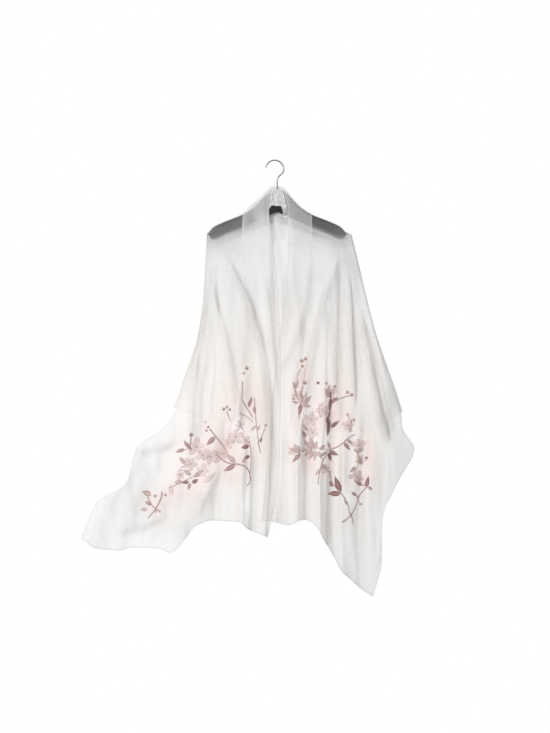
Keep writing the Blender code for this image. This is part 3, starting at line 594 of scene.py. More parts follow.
Section = namedtuple("Section", "share inner_x inner_z outer_x outer_z")
Front = namedtuple("Front", "sections side hem folds join lap plumb")
LEFT_SECTIONS = rows_of(
    Section,
    (0.000, -14, -90, -201, -222), (0.068, -17, -155, -205, -287), (0.170, -5, -264, -210, -382),
    (0.270, 7, -367, -222, -486), (0.377, 14, -486, -245, -577), (0.470, 17, -595, -273, -657),
    (0.560, 17, -693, -289, -737), (0.640, 16, -782, -334, -797), (0.720, 14, -862, -402, -844),
    (0.810, 10, -939, -434, -950), (0.895, -1, -1013, -517, -1004), (1.000, -20, -1107, -566, -1113),
)
LEFT_HEM = rows_of(Row, (0, 0), (0.10, 22), (0.17, 46), (0.30, 48), (0.39, 35), (0.44, 3), (0.53, -41),
                   (0.60, -29), (0.71, -28), (0.80, -36), (0.90, -27), (1, 0))
LEFT_FOLDS = rows_of(
    Fold,
    (-183, -236, -80, -438, -24, -800, 19, 20, 7, 0.85),
    (-200, -330, -150, -521, -112, -740, 16, 13, 4, 0.5),
    (-172, -300, -162, -480, -180, -740, 15, -11, -3, 0),
    (-204, -380, -236, -560, -252, -780, 17, 14, 6, 0.6),
    (-186, -560, -206, -680, -214, -800, 15, -11, 0, 0.4),
    (-120, -850, -246, -1040, -312, -1180, 28, 15, 5, 0.2),
    (-250, -780, -352, -940, -440, -1190, 32, -19, 0, 0.2),
    (-318, -780, -432, -930, -535, -1190, 30, 19, -8, 0.4),
    (-20, -760, -26, -960, -34, -1190, 13, 14, 6, 0.5), (-52, -780, -58, -960, -66, -1190, 15, -17, -4, 0.7),
    (-92, -760, -102, -960, -110, -1190, 19, 17, 6, 0.3),
    (-130, -720, -164, -940, -196, -1190, 22, -16, 0, 0.2),
    (-270, -828, -330, -858, -410, -860, 17, -12, 0, 0.5),
    (-300, -1050, -370, -1080, -440, -1100, 16, -9, 0, 0.5),
    (-60, -560, -84, -660, -140, -880, 15, 7, -3, 0), (-30, -330, -20, -470, -2, -640, 12, 7, 4, 0.4),
)


def table(rows, name):
    return tuple(Row(row.share, getattr(row, name)) for row in rows)


def front_width(front, share):
    inner, outer = (read_table(table(front.sections, name), share) for name in ("inner_x", "outer_x"))
    return np.abs(outer - inner)


def plumb_across(front, column, share):
    """Share across of a column: low on a plumb front the columns by the opening hang straight."""
    plumb = front.plumb * ease(0.56, 0.70, share)
    ratio = mix(1, front_width(front, 0.56) / front_width(front, share), plumb)
    return column * ratio - (ratio - 1) * column ** 3


def front_surface(front, column, down):
    """Points of a front. Down runs from -1 on top of the hanger, by 0 under its turn, to the hem."""
    share = np.maximum(down, 0)
    across = plumb_across(front, column, share)
    inner_x, inner_z, outer_x, outer_z = (read_table(table(front.sections, name), share)
                                          for name in Section._fields[1:])
    outer_x = np.where(share < front.join, read_table(front.side, outer_z), outer_x)
    x = mix(inner_x, outer_x, across)
    top = front.sections[0]
    top_x = mix(top.inner_x, top.outer_x, across)
    rise = hanger_ridge(top_x) - OVER_ARM_RADIUS - mix(top.inner_z, top.outer_z, across)
    z = mix(inner_z, outer_z, across) + rise * (1 - ease(0, 0.45, share))
    z = z + read_table(front.hem, across) * ease(0.55, 1, share) ** 2
    out, aside = folded(front.folds, x, z)
    lap = front.lap * ease(0.30, 0.50, share) * (1 - ease(0, LAP_ACROSS, across))
    depth = read_table(FRONT_DEPTH, share) + out + lap + flutter(x, z) * ease(0.05, 0.3, share)
    turn = round_turn((1 - across) * np.abs(outer_x - inner_x), read_table(FRONT_TURN, share))
    turn = mix(turn, 1, ease(front.join, front.join + 0.12, share))
    y, z = over_arm(x, z, depth, turn, down)
    edge = ease(0, 0.07, across) * ease(0, 0.07, 1 - across)
    x = x + aside * edge * ease(0, 0.15, share)
    return np.stack((x, -y, z), axis=-1) * MM


def round_line(name, radius, materials):
    """A curve with a round section, which has its materials before it gets its lines."""
    curve = bpy.data.curves.new(name, "CURVE")
    curve.dimensions = "3D"
    curve.bevel_depth = radius * MM
    curve.bevel_resolution = 1
    curve.use_fill_caps = True
    for material in materials:
        curve.materials.append(material)
    return curve


def made_mesh(name, curve):
    """A curve made into a mesh piece that rides with the shawl."""
    drawn = bpy.data.objects.new(name, curve)
    mesh = bpy.data.meshes.new_from_object(drawn)
    mesh.name = name
    bpy.data.objects.remove(drawn)
    mesh.shade_smooth()
    piece = put_in_scene(name, mesh)
    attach(piece, "root")
    return piece


def rolled_edge_cloth():
    recipe = Recipe("rolled_edge_cloth", Roughness=0.7, Sheen_Weight=0.3)
    place = recipe.place()
    turns = recipe.noise(place, 420, detail=2)
    recipe.set(Base_Color=recipe.tint(turns, (0.86, 0.84, 0.80, 1), (0.72, 0.70, 0.66, 1)),
               Alpha=0.14 + 0.22 * turns, Normal=recipe.raised(turns, 0.0003))
    return recipe.material


rolled_thread = rolled_edge_cloth()


def rolled_hem(name, edges):
    """Hems rolled tight by hand along the cloth's cut edges, each a thin cord of cloth."""
    curve = round_line(name, HEM_RADIUS, (rolled_thread,))
    for edge in edges:
        spline = curve.splines.new("POLY")
        spline.points.add(len(edge) - 1)
        for point, place in zip(spline.points, edge):
            point.co = (*place, 1)
    piece = made_mesh(name, curve)
    return piece


LEFT_BLOSSOMS = rows_of(
    Blossom,
    (-230, -844, 28, 12), (-189, -873, 27, 40), (-248, -894, 22, 60), (-212, -915, 22, 5),
    (-115, -814, 25, 20), (-85, -826, 18, 50), (-135, -832, 19, 75), (-103, -782, 16, 30),
    (-277, -927, 16, 30), (-150, -866, 19, 25), (-212, -868, 20, 65),
)
# more places where close stitching tints the cloth, which have no open blossom
LEFT_GLOW = rows_of(
    Blossom,
    (-345, -1010, 20, 0), (-300, -972, 18, 0), (-250, -965, 20, 0), (-100, -885, 22, 0), (-192, -785, 16, 0),
    (-128, -932, 18, 0), (-95, -690, 24, 0), (-88, -740, 22, 0),
)


def hung_front(side, front, columns, rows, flowers):
    """A front's cloth, and the hems rolled on its cut edges."""
    points = thread_grid(side_columns(columns, False), fall_rows(rows),
                         lambda column, down: front_surface(front, column, down))
    cloth = lay_cloth(side + "_front_cloth", points, sheer_weave("sheer_weave_" + side, FRONT_COVER),
                      front.folds, flowers=flowers)
    hem = rolled_hem(side + "_front_hem", (points[-1], points[TURN_ROWS + 1::HEM_STEP, 0],
                                           points[SIDE_HEM_ROW::HEM_STEP, -1]))
    return cloth, hem


left_front = Front(LEFT_SECTIONS, SIDE_LEFT, LEFT_HEM, LEFT_FOLDS, join=0.47, lap=8, plumb=0)
left_cloth, left_hem = hung_front("left", left_front, LEFT_COLUMNS, LEFT_ROWS, LEFT_BLOSSOMS + LEFT_GLOW)
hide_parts("shawl_front_left")


# The right front: the shawl's other end. It hangs plumb in close pleats beside the opening,
# under the left front's edge, and runs out to a long point.
RIGHT_COLUMNS = 220
RIGHT_ROWS = 160
RIGHT_SECTIONS = rows_of(
    Section,
    (0.000, 25, -90, 229, -225), (0.077, 39, -163, 247, -299), (0.169, 39, -264, 268, -388),
    (0.266, 35, -367, 293, -486), (0.364, 22, -471, 324, -583), (0.458, 7, -575, 355, -669),
    (0.542, -5, -678, 371, -740), (0.614, -14, -782, 374, -788), (0.692, -20, -871, 409, -853),
    (0.782, -26, -945, 356, -953), (0.866, -32, -1004, 315, -1063), (0.937, -35, -1036, 312, -1181),
    (1.000, -38, -1063, 288, -1282),
)
RIGHT_HEM = rows_of(Row, (0, 0), (0.10, 22), (0.22, 38), (0.34, 79), (0.45, 96), (0.53, 77), (0.63, 46),
                    (0.76, 13), (0.90, -2), (1, 0))
RIGHT_FOLDS = rows_of(
    Fold,
    (214, -234, 138, -470, 84, -840, 19, 20, -7, 0.85), (193, -250, 193, -410, 190, -640, 11, -12, 0, 0.6),
    (210, -290, 218, -420, 226, -680, 11, 12, 6, 0.5), (240, -400, 266, -560, 314, -790, 17, 15, 6, 0.7),
    (268, -430, 300, -600, 344, -780, 14, -11, 0, 0.2), (300, -560, 352, -780, 330, -1150, 26, 17, -8, 0.4),
    (4, -690, -2, -900, -10, -1320, 14, 11, 4, 0.3), (36, -680, 30, -880, 23, -1320, 14, -15, 0, 0.4),
    (68, -690, 62, -900, 56, -1320, 14, 16, 5, 0.3), (101, -650, 95, -880, 89, -1320, 14, -16, 0, 0.6),
    (135, -640, 128, -880, 123, -1320, 14, 17, 5, 0.2), (172, -680, 163, -920, 158, -1320, 15, -20, 0, 0.8),
    (220, -680, 206, -930, 202, -1320, 19, 19, -6, 0.4), (272, -700, 254, -960, 246, -1320, 19, -16, 0, 0.3),
    (110, -420, 84, -560, 60, -760, 15, -9, 0, 0.5), (150, -430, 144, -560, 140, -760, 13, 9, 5, 0.2),
    (105, -245, 88, -450, 37, -590, 16, 5, 0, 0.9),
)
RIGHT_BLOSSOMS = rows_of(
    Blossom,
    (107, -764, 24, 10), (110, -802, 22, 50), (140, -737, 22, 35), (164, -684, 21, 10), (149, -909, 16, 25),
    (246, -840, 24, 20), (252, -882, 18, 60), (238, -930, 22, 40), (214, -782, 19, 15), (66, -693, 16, 35),
    (107, -853, 25, 30), (54, -856, 16, 0), (251, -940, 15, 5),
)
RIGHT_GLOW = rows_of(
    Blossom,
    (135, -730, 22, 0), (110, -685, 25, 0), (84, -625, 22, 0), (78, -720, 20, 0), (108, -892, 22, 0),
    (158, -755, 19, 0),
)
right_front = Front(RIGHT_SECTIONS, SIDE_RIGHT, RIGHT_HEM, RIGHT_FOLDS, join=0.458, lap=-14, plumb=1)
right_cloth, right_hem = hung_front("right", right_front, RIGHT_COLUMNS, RIGHT_ROWS,
                                    RIGHT_BLOSSOMS + RIGHT_GLOW)
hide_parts("shawl_front_right")


# The turned-back edge: the shawl's upper long edge is folded back over each front like a lapel,
# so the cloth is double there and its selvedge shows as a crisp line.
LAPEL_GAP = 1.8
LAPEL_SWELL = 2.6
LAPEL_COLUMNS = 44
LAPEL_ROWS = 110
NORMAL_STEP = 0.004
LAPEL_LEFT = rows_of(Row, (0, 80), (0.07, 80), (0.17, 91), (0.27, 92), (0.377, 72), (0.47, 46), (0.56, 16))
LAPEL_RIGHT = rows_of(Row, (0, 85), (0.077, 72), (0.169, 66), (0.266, 51), (0.364, 28), (0.45, 7))


def moved_out(surface, across, down, out, outward):
    """Points of a surface moved off it along its normals, on the outward side."""
    low, high = np.maximum(down - NORMAL_STEP, -1), np.minimum(down + NORMAL_STEP, 1)
    rise = surface(across, high) - surface(across, low)
    run = surface(across + NORMAL_STEP, down) - surface(across - NORMAL_STEP, down)
    normal = np.cross(rise, run)
    normal /= np.linalg.norm(normal, axis=-1, keepdims=True)
    normal = normal * np.where(normal @ np.array(outward) < 0, -1, 1)[..., None]
    return surface(across, down) + normal * (np.asarray(out) * MM)[..., None]


def lapel_surface(front, widths, across, down):
    share = np.maximum(down, 0)
    swell = LAPEL_SWELL * ease(0, 0.25, across) * ease(0, 0.05, share)
    front_across = across * read_table(widths, share) / front_width(front, share)
    return moved_out(lambda a, d: front_surface(front, a, d), front_across, down, LAPEL_GAP + swell,
                     (0, -1, 1))


def turned_closeness(points):
    """The turned edge is drawn together towards the neck, and runs out to nothing at its foot."""
    x, z = seen_at(points)
    foot = 1 - ease(0.55, 1, np.linspace(0, 1, len(points)))[:, None]
    drawn = ease(-310, -190, z) * (1 - 0.52 * ease(20, 50, x))
    on_arm = spot(x, z, -74, -172, 15, 26)
    beside_opening = 1.3 * spot(x, z, -36, -170, 18, 17)
    total = 0.8 + 1.45 * drawn - on_arm + beside_opening
    return np.maximum(total, LEAST_CLOSENESS) * foot * thin_ridge(x, z)


def collar_closeness(points):
    """Behind the neck the turned edge is close along the hanger, and fades down to its foot."""
    down = np.linspace(0, 1, len(points))[:, None] * np.ones(points.shape[:2])
    return 3 * ease(0.1, 0.35, down) * (1 - ease(0.4, 0.95, down))


# The turned edge's grey is lighter than the main cloth's grey: painted light.
turned_weave = sheer_weave("sheer_weave_turned", FRONT_COVER, cool=(0.93, 0.93, 0.925, 1))
for side, front, widths in (("left", left_front, LAPEL_LEFT), ("right", right_front, LAPEL_RIGHT)):
    points = thread_grid(np.linspace(0, 1, LAPEL_COLUMNS + 1), fall_rows(LAPEL_ROWS, widths[-1].key),
                         lambda a, d: lapel_surface(front, widths, a, d))
    lapel = lay_cloth(side + "_turned_edge", points, turned_weave, closeness=turned_closeness, rim=0.5)
    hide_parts("shawl_lapel_" + side)


# The turned-back edge behind the neck: the same fold carried on over the hanger's back.
# Nothing shows of it in front, and it lies on the back cloth.
COLLAR_LEFT_X = -93
COLLAR_RIGHT_X = 109
COLLAR_CENTRE_DROP = 78
COLLAR_END_DROP = 9
COLLAR_GAP = 2.3


def collar_surface(along, down):
    x = mix(COLLAR_LEFT_X, COLLAR_RIGHT_X, along)
    across = (x - SIDE_LEFT[0].value) / (SIDE_RIGHT[0].value - SIDE_LEFT[0].value)
    bow = np.sin(math.pi * np.clip(along, 0, 1)) ** 0.7
    drop = mix(COLLAR_END_DROP, COLLAR_CENTRE_DROP, bow)
    share = np.where(down < 0, down, down * drop / (SIDE_LEFT[0].key - SIDE_LEFT[-1].key))
    return moved_out(back_surface, across, share, np.full_like(x, COLLAR_GAP), (0, 1, 1))


collar_points = thread_grid(np.linspace(0, 1, 91), fall_rows(24), collar_surface)
collar = lay_cloth("neck_turned_edge", collar_points, turned_weave, closeness=collar_closeness, rim=0)
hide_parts("shawl_collar_back")


# The bunched edge at the neck: the turned-back edge is crumpled together over the front of the hanger's
# neck, under the hook, in several layers, so it is whiter than the rest: its weave is closer, and its grey
# is painted lighter than the main cloth's, as painted light.
BUNCHED_COVER = 0.6
NECK_RADIUS = 7.2
NECK_FOOT_Z = -130.5
NECK_DIP = 4
NECK_LEFT_DROP = 12
NECK_RIGHT_DROP = 36
# how far apart the lumps are across and down, where they start and how high they stand
CRUMPLES = ((21, 17, 0.9, 3.4), (13, 19, 2, 2.4), (9, 10, 3.4, 1.5))


def crumpled(x, z):
    """Height of the crumpled cloth over its plain form, in soft lumps of several sizes."""
    lumps = np.zeros_like(x)
    for wide, tall, start, height in CRUMPLES:
        aside = np.cos(math.pi * x / wide + 0.9 * np.sin(z / wide + start) + start)
        down = np.cos(math.pi * z / tall + 0.8 * np.sin(2 * x / wide - start))
        lumps += height * (aside * down) ** 2
    return lumps


def neck_surface(across, down):
    share = np.maximum(down, 0)
    top_z = HANGER_TOP[0].value + OVER_ARM_RADIUS - HANGER_HALF_THICKNESS - NECK_RADIUS
    side_drop = NECK_LEFT_DROP * (1 - ease(0, 0.16, across)) + NECK_RIGHT_DROP * ease(0.66, 0.82, across)
    foot_z = NECK_FOOT_Z - NECK_DIP * np.sin(math.pi * across) - side_drop
    z = mix(top_z, foot_z, share)
    left_x, right_x = (read_table(tuple(Row(row.inner_z, row.inner_x) for row in sections), z)
                       for sections in (LEFT_SECTIONS, RIGHT_SECTIONS))
    x = mix(left_x + 0.5, right_x - 0.5, across)
    out = crumpled(x, z) * ease(0, 0.25, share)
    angle = mix(math.pi / 2, np.arcsin(seam_offset(HANGER_CENTRE_X) / NECK_RADIUS), np.maximum(-down, 0))
    y = np.where(down < 0, NECK_RADIUS * np.sin(angle), NECK_RADIUS + out)
    z = np.where(down < 0, top_z + NECK_RADIUS * np.cos(angle), z)
    return np.stack((x, -y, z), axis=-1) * MM


def bunched_closeness(points):
    """The bunch is close, and its long right end thins out."""
    return 1 - 0.5 * ease(-132, -150, points[..., 2] / MM)


neck_points = thread_grid(np.linspace(0, 1, 101), fall_rows(90), neck_surface)
# The bunched edge's grey is painted lighter than the main cloth's: painted light.
bunched_weave = sheer_weave("sheer_weave_bunched", BUNCHED_COVER, cool=(0.93, 0.93, 0.92, 1))
neck = lay_cloth("neck_bunched_edge", neck_points, bunched_weave, closeness=bunched_closeness, rim=0)
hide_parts("shawl_neck_fold")


# The embroidery of the left front: flowering branches in satin stitch, with silk thread from pale
# blush to plum brown. The stems are couched cords, the leaves padded stitches over the cloth.
Stem = namedtuple("Stem", "start_x start_z mid_x mid_z end_x end_z width tone")
Leaf = namedtuple("Leaf", "x z turn length width tone")
Bud = namedtuple("Bud", "x z size tone")
IVORY = -1
LEFT_STEMS = rows_of(
    Stem,
    (-94, -651, -95, -678, -97, -705, 4.4, 0.55), (-97, -705, -76, -740, -64, -758, 4, 0.6),
    (-103, -746, -79, -758, -64, -773, 3.7, 0.45), (-60, -702, -55, -764, -48, -829, 4.6, 0.45),
    (-48, -829, -45, -844, -41, -862, 4.4, 0.6), (-48, -829, -38, -814, -28, -786, 3.7, 0.6),
    (-97, -752, -100, -779, -88, -802, 3, 0.3), (-141, -740, -135, -755, -128, -770, 4, 0.65),
    (-190, -792, -171, -817, -143, -853, 5.3, 0.75), (-246, -814, -251, -844, -266, -853, 4, 0.6),
    (-255, -894, -276, -910, -248, -913, 3.7, 0.4), (-171, -868, -144, -888, -115, -894, 5.6, 0.8),
    (-115, -894, -85, -903, -73, -930, 5.6, 0.8), (-73, -930, -73, -945, -82, -958, 4.9, 0.7),
    (-76, -829, -70, -865, -73, -927, 4.2, 0.45), (-310, -965, -268, -945, -224, -924, 4, 0.45),
    (-374, -992, -357, -1019, -335, -1036, 4.7, 0.75), (-331, -977, -340, -1010, -371, -1053, 5.3, 0.8),
    (-351, -1039, -345, -1027, -334, -1033, 3.7, 0.6),
)
LEFT_LEAVES = rows_of(
    Leaf,
    (-101, -640, -91, 66, 8, IVORY), (-101, -700, -109, 96, 11, IVORY), (-128, -782, -112, 82, 12, IVORY),
    (-78, -728, 70, 34, 10, 0.6), (-59, -746, 90, 26, 8, 0.85), (-38, -817, -105, 15, 7, 0.9),
    (-175, -815, -135, 35, 14, 0.75), (-251, -847, 125, 27, 11, 0.8), (-264, -851, -160, 29, 11, 0.75),
    (-254, -841, -50, 19, 8, 0.6), (-115, -896, -150, 40, 14, 0.8), (-115, -891, 135, 36, 14, 0.3),
    (-75, -841, -165, 24, 13, 0.95), (-73, -871, -160, 19, 10, 0.9), (-242, -950, 30, 21, 12, 1),
    (-251, -947, -175, 23, 11, 0.85), (-248, -950, -105, 21, 9, 0.8), (-271, -945, -170, 25, 12, 0.25),
    (-301, -986, 100, 35, 14, 0.2), (-363, -986, 160, 28, 17, 0.5), (-360, -1013, 165, 23, 11, 0.55),
    (-375, -1027, -170, 22, 11, 0.3), (-236, -933, 40, 32, 12, 0.35), (-209, -950, 40, 50, 15, 0.12),
    (-245, -927, 145, 27, 11, 0.3), (-138, -865, 130, 28, 11, 0.2), (-94, -891, 60, 23, 9, 0.35),
    (-263, -894, 130, 23, 11, 0.3), (-55, -782, -135, 21, 8, 0.3), (-52, -797, 60, 21, 7, 0.4),
)
LEFT_BUDS = rows_of(
    Bud,
    (-81, -616, 10.1, 0.9), (-91, -631, 8.9, 0.35), (-149, -736, 8.9, 0.85), (-141, -730, 7.7, 0.8),
    (-132, -737, 7.7, 0.85), (-204, -774, 6.5, 0.5), (-196, -788, 7.7, 0.85), (-201, -799, 7.1, 0.75),
    (-246, -811, 10.7, 0.95), (-27, -782, 7.1, 0.7), (-350, -991, 8.9, 0.65), (-322, -987, 7.7, 0.4),
    (-274, -882, 10.1, 0.45),
)
STEM_STEP = 5
STEM_TAPER = 0.35
CORD_SHARE = 0.84
LEAF_STEPS = 8
LEAF_TIP = 0.75
PAD_HEIGHT = 1.3
VEIN_DEPTH = 0.5
PETALS = 5
PETAL_WIDTH = 0.62
PETAL_UNEVENNESS = 0.12
KNOT_RADIUS = 1.3
KNOT_REACH = 2.2
BUD_SWAY = 30
# the three petals of a bud, each by its turn from upright and its share of the bud's size
BUD_PETALS = ((-48, 0.8), (4, 1), (52, 0.7))
STITCH_WAVES = 9


def silk_thread(name, first, second, cover=1):
    """Lustrous satin stitch: the stitches lie side by side across each leaf and shine along it."""
    recipe = Recipe(name, Roughness=0.38, Sheen_Weight=0.35, Sheen_Roughness=0.3, Alpha=cover)
    stitches = recipe.add("ShaderNodeUVMap", {"uv_map": "stitches"})
    place = recipe.place()
    laid = recipe.maths("SINE", recipe.axis(stitches, 0) * STITCH_WAVES)
    from_middle = recipe.maths("ABSOLUTE", recipe.axis(stitches, 1))
    shade = recipe.noise(place, 55, detail=3) * 0.8 + from_middle * 0.6
    fuzz = recipe.noise(place, 1500, detail=2)
    recipe.set(Base_Color=recipe.tint(recipe.between(shade, 0.35, 0.95), first, second),
               Roughness=0.34 + 0.14 * fuzz,
               Normal=recipe.raised(laid + 0.6 * fuzz, 0.00006))
    return recipe.material


threads_by_tone = (
    silk_thread("thread_blush", (0.93, 0.79, 0.74, 1), (0.79, 0.57, 0.54, 1), 0.64),
    silk_thread("thread_dusty_pink", (0.80, 0.62, 0.58, 1), (0.52, 0.35, 0.33, 1), 0.9),
    silk_thread("thread_rose_brown", (0.66, 0.44, 0.41, 1), (0.37, 0.21, 0.20, 1), 0.95),
    silk_thread("thread_plum_brown", (0.46, 0.27, 0.25, 1), (0.25, 0.135, 0.13, 1)),
    silk_thread("thread_ivory", (0.98, 0.94, 0.93, 1), (0.95, 0.86, 0.85, 1), 0.85),
)
cords_by_tone = (
    silk_thread("cord_blush", (0.80, 0.60, 0.57, 1), (0.66, 0.46, 0.44, 1), 0.9),
    silk_thread("cord_dusty_pink", (0.64, 0.48, 0.47, 1), (0.52, 0.38, 0.375, 1)),
    silk_thread("cord_rose_brown", (0.54, 0.385, 0.385, 1), (0.42, 0.285, 0.29, 1)),
    silk_thread("cord_plum_brown", (0.26, 0.14, 0.15, 1), (0.18, 0.10, 0.11, 1)),
)
TONE_STEPS = (0.2, 0.5, 0.82)


def tone_number(tone):
    return len(TONE_STEPS) + 1 if tone == IVORY else sum(tone > step for step in TONE_STEPS)


def finder_on(cloth):
    """A finder of places on the outside of a hanging cloth, by where they are seen from in front."""
    tree = BVHTree.FromObject(cloth, bpy.context.evaluated_depsgraph_get())

    def find(x, z, raised):
        seen = Vector((x * MM, -1, z * MM))
        place, normal = tree.ray_cast(seen, Vector((0, 1, 0)))[:2]
        if place is None:
            place, normal = tree.find_nearest(Vector((x * MM, -0.04, z * MM)))[:2]
        outward = normal if normal.y < 0 else -normal
        return place + outward * raised * MM

    return find


def couched_stems(name, stems, find):
    """Cords laid along the stems, thinner towards their ends, and stitched down."""
    curve = round_line(name, 1, cords_by_tone)
    for stem in stems:
        start, mid, end = (Vector(stem[index:index + 2]) for index in (0, 2, 4))
        bend = 2 * mid - (start + end) / 2
        steps = max(3, round((end - start).length / STEM_STEP))
        spline = curve.splines.new("POLY")
        spline.points.add(steps)
        spline.material_index = tone_number(stem.tone)
        for index, point in enumerate(spline.points):
            share = index / steps
            at = start * (1 - share) ** 2 + bend * 2 * share * (1 - share) + end * share ** 2
            point.radius = CORD_SHARE * stem.width / 2 * (1 - STEM_TAPER * share)
            point.co = (*find(at.x, at.y, 0.4 * point.radius), 1)
    return made_mesh(name, curve)


def satin_leaf(shape, stitches, find, leaf, widest=LEAF_TIP):
    """One padded leaf or petal from its base to its tip, with a groove along its middle."""
    turn = math.radians(leaf.turn)
    grid = bmesh.ops.create_grid(shape, x_segments=LEAF_STEPS, y_segments=4, size=0.5)["verts"]
    laid = {}
    for vert in grid:
        along, aside = vert.co.x + 0.5, 2 * vert.co.y
        half = leaf.width / 2 * (0.06 + 0.94 * math.sin(math.pi * along ** widest))
        raised = PAD_HEIGHT * (1 - aside ** 2) * math.sin(math.pi * (0.05 + 0.9 * along))
        raised -= VEIN_DEPTH * math.exp(-(aside / 0.3) ** 2)
        u, v = along * leaf.length, aside * half
        x = leaf.x + u * math.cos(turn) - v * math.sin(turn)
        z = leaf.z + u * math.sin(turn) + v * math.cos(turn)
        vert.co = find(x, z, 0.5 + raised)
        laid[vert] = (u + abs(v), aside)
    for face in {face for vert in grid for face in vert.link_faces}:
        face.material_index = tone_number(leaf.tone)
        face.smooth = True
        for loop in face.loops:
            loop[stitches].uv = laid[loop.vert]


def stitched_knot(shape, centre, size, flatness, tone):
    """A bud or a French knot: a small round pad of thread."""
    ball = bmesh.ops.create_uvsphere(shape, u_segments=8, v_segments=5, radius=size / 2 * MM)["verts"]
    for vert in ball:
        vert.co = Vector((vert.co.x, vert.co.y * flatness, vert.co.z)) + centre
    for face in {face for vert in ball for face in vert.link_faces}:
        face.material_index = tone_number(tone)
        face.smooth = True


def embroidered(name, find, leaves, blossoms, buds):
    """All the leaves, blossoms and buds of one front, as one mesh."""
    shape = bmesh.new()
    stitches = shape.loops.layers.uv.new("stitches")
    for leaf in leaves:
        satin_leaf(shape, stitches, find, leaf)
    for blossom in blossoms:
        for petal in range(PETALS):
            turn = blossom.turn + petal * 360 / PETALS
            length = blossom.radius * (1 + PETAL_UNEVENNESS * math.sin(3 * petal + blossom.turn))
            satin_leaf(shape, stitches, find,
                       Leaf(blossom.x, blossom.z, turn, length, length * PETAL_WIDTH, 0), 1.3)
            between = math.radians(turn + 180 / PETALS)
            knot_x = blossom.x + KNOT_REACH * math.cos(between)
            knot_z = blossom.z + KNOT_REACH * math.sin(between)
            stitched_knot(shape, find(knot_x, knot_z, 1.6), 2 * KNOT_RADIUS, 0.8, 0.4)
    for bud in buds:
        stitched_knot(shape, find(bud.x, bud.z, 0.8), 0.6 * bud.size, 0.4, bud.tone)
        for aside, length in BUD_PETALS:
            turn = 90 + aside + BUD_SWAY * math.sin(bud.x)
            satin_leaf(shape, stitches, find,
                       Leaf(bud.x, bud.z, turn, length * bud.size, 0.55 * bud.size, 0.85 * bud.tone))
    piece = put_in_scene(name, finished_mesh(name, shape, threads_by_tone))
    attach(piece, "root")
    return piece


find_on_left = finder_on(left_cloth)
left_stems = couched_stems("left_front_stems", LEFT_STEMS, find_on_left)
left_needlework = embroidered("left_front_embroidery", find_on_left, LEFT_LEAVES, LEFT_BLOSSOMS, LEFT_BUDS)


# The embroidery of the right front: the same branches and thread, in a spray of their own.
RIGHT_STEMS = rows_of(
    Stem,
    (75, -616, 63, -649, 59, -678, 3.7, 0.5), (90, -613, 88, -634, 85, -651, 3.3, 0.35),
    (59, -678, 69, -705, 82, -725, 4.4, 0.65), (84, -666, 78, -699, 82, -728, 4.7, 0.8),
    (82, -728, 72, -743, 73, -761, 4.4, 0.7), (84, -761, 79, -788, 81, -817, 3.7, 0.45),
    (79, -802, 87, -829, 79, -859, 3.7, 0.45), (164, -684, 164, -717, 161, -743, 6.2, 0.95),
    (161, -743, 155, -776, 155, -810, 6.7, 0.95), (164, -723, 187, -705, 227, -693, 4.4, 0.7),
    (137, -758, 131, -731, 146, -714, 3.7, 0.4), (223, -764, 223, -782, 218, -801, 4, 0.6),
    (214, -746, 220, -764, 230, -767, 3.3, 0.5), (79, -859, 119, -847, 159, -856, 4.2, 0.45),
    (159, -856, 184, -844, 202, -831, 4.9, 0.75), (202, -831, 217, -817, 236, -808, 4.4, 0.65),
    (155, -868, 136, -897, 127, -953, 4.4, 0.65), (162, -915, 170, -950, 193, -977, 5.3, 0.8),
    (193, -977, 211, -1007, 218, -1036, 4.9, 0.75), (218, -1036, 226, -1051, 229, -1072, 4.7, 0.75),
    (196, -1063, 226, -1039, 244, -999, 5.3, 0.8), (244, -999, 252, -983, 273, -961, 5.3, 0.8),
    (238, -949, 258, -956, 282, -964, 5.6, 0.8), (232, -853, 247, -882, 229, -930, 4.7, 0.4),
    (244, -998, 238, -986, 227, -980, 4, 0.6), (244, -1001, 247, -1007, 252, -1016, 3.7, 0.5),
)
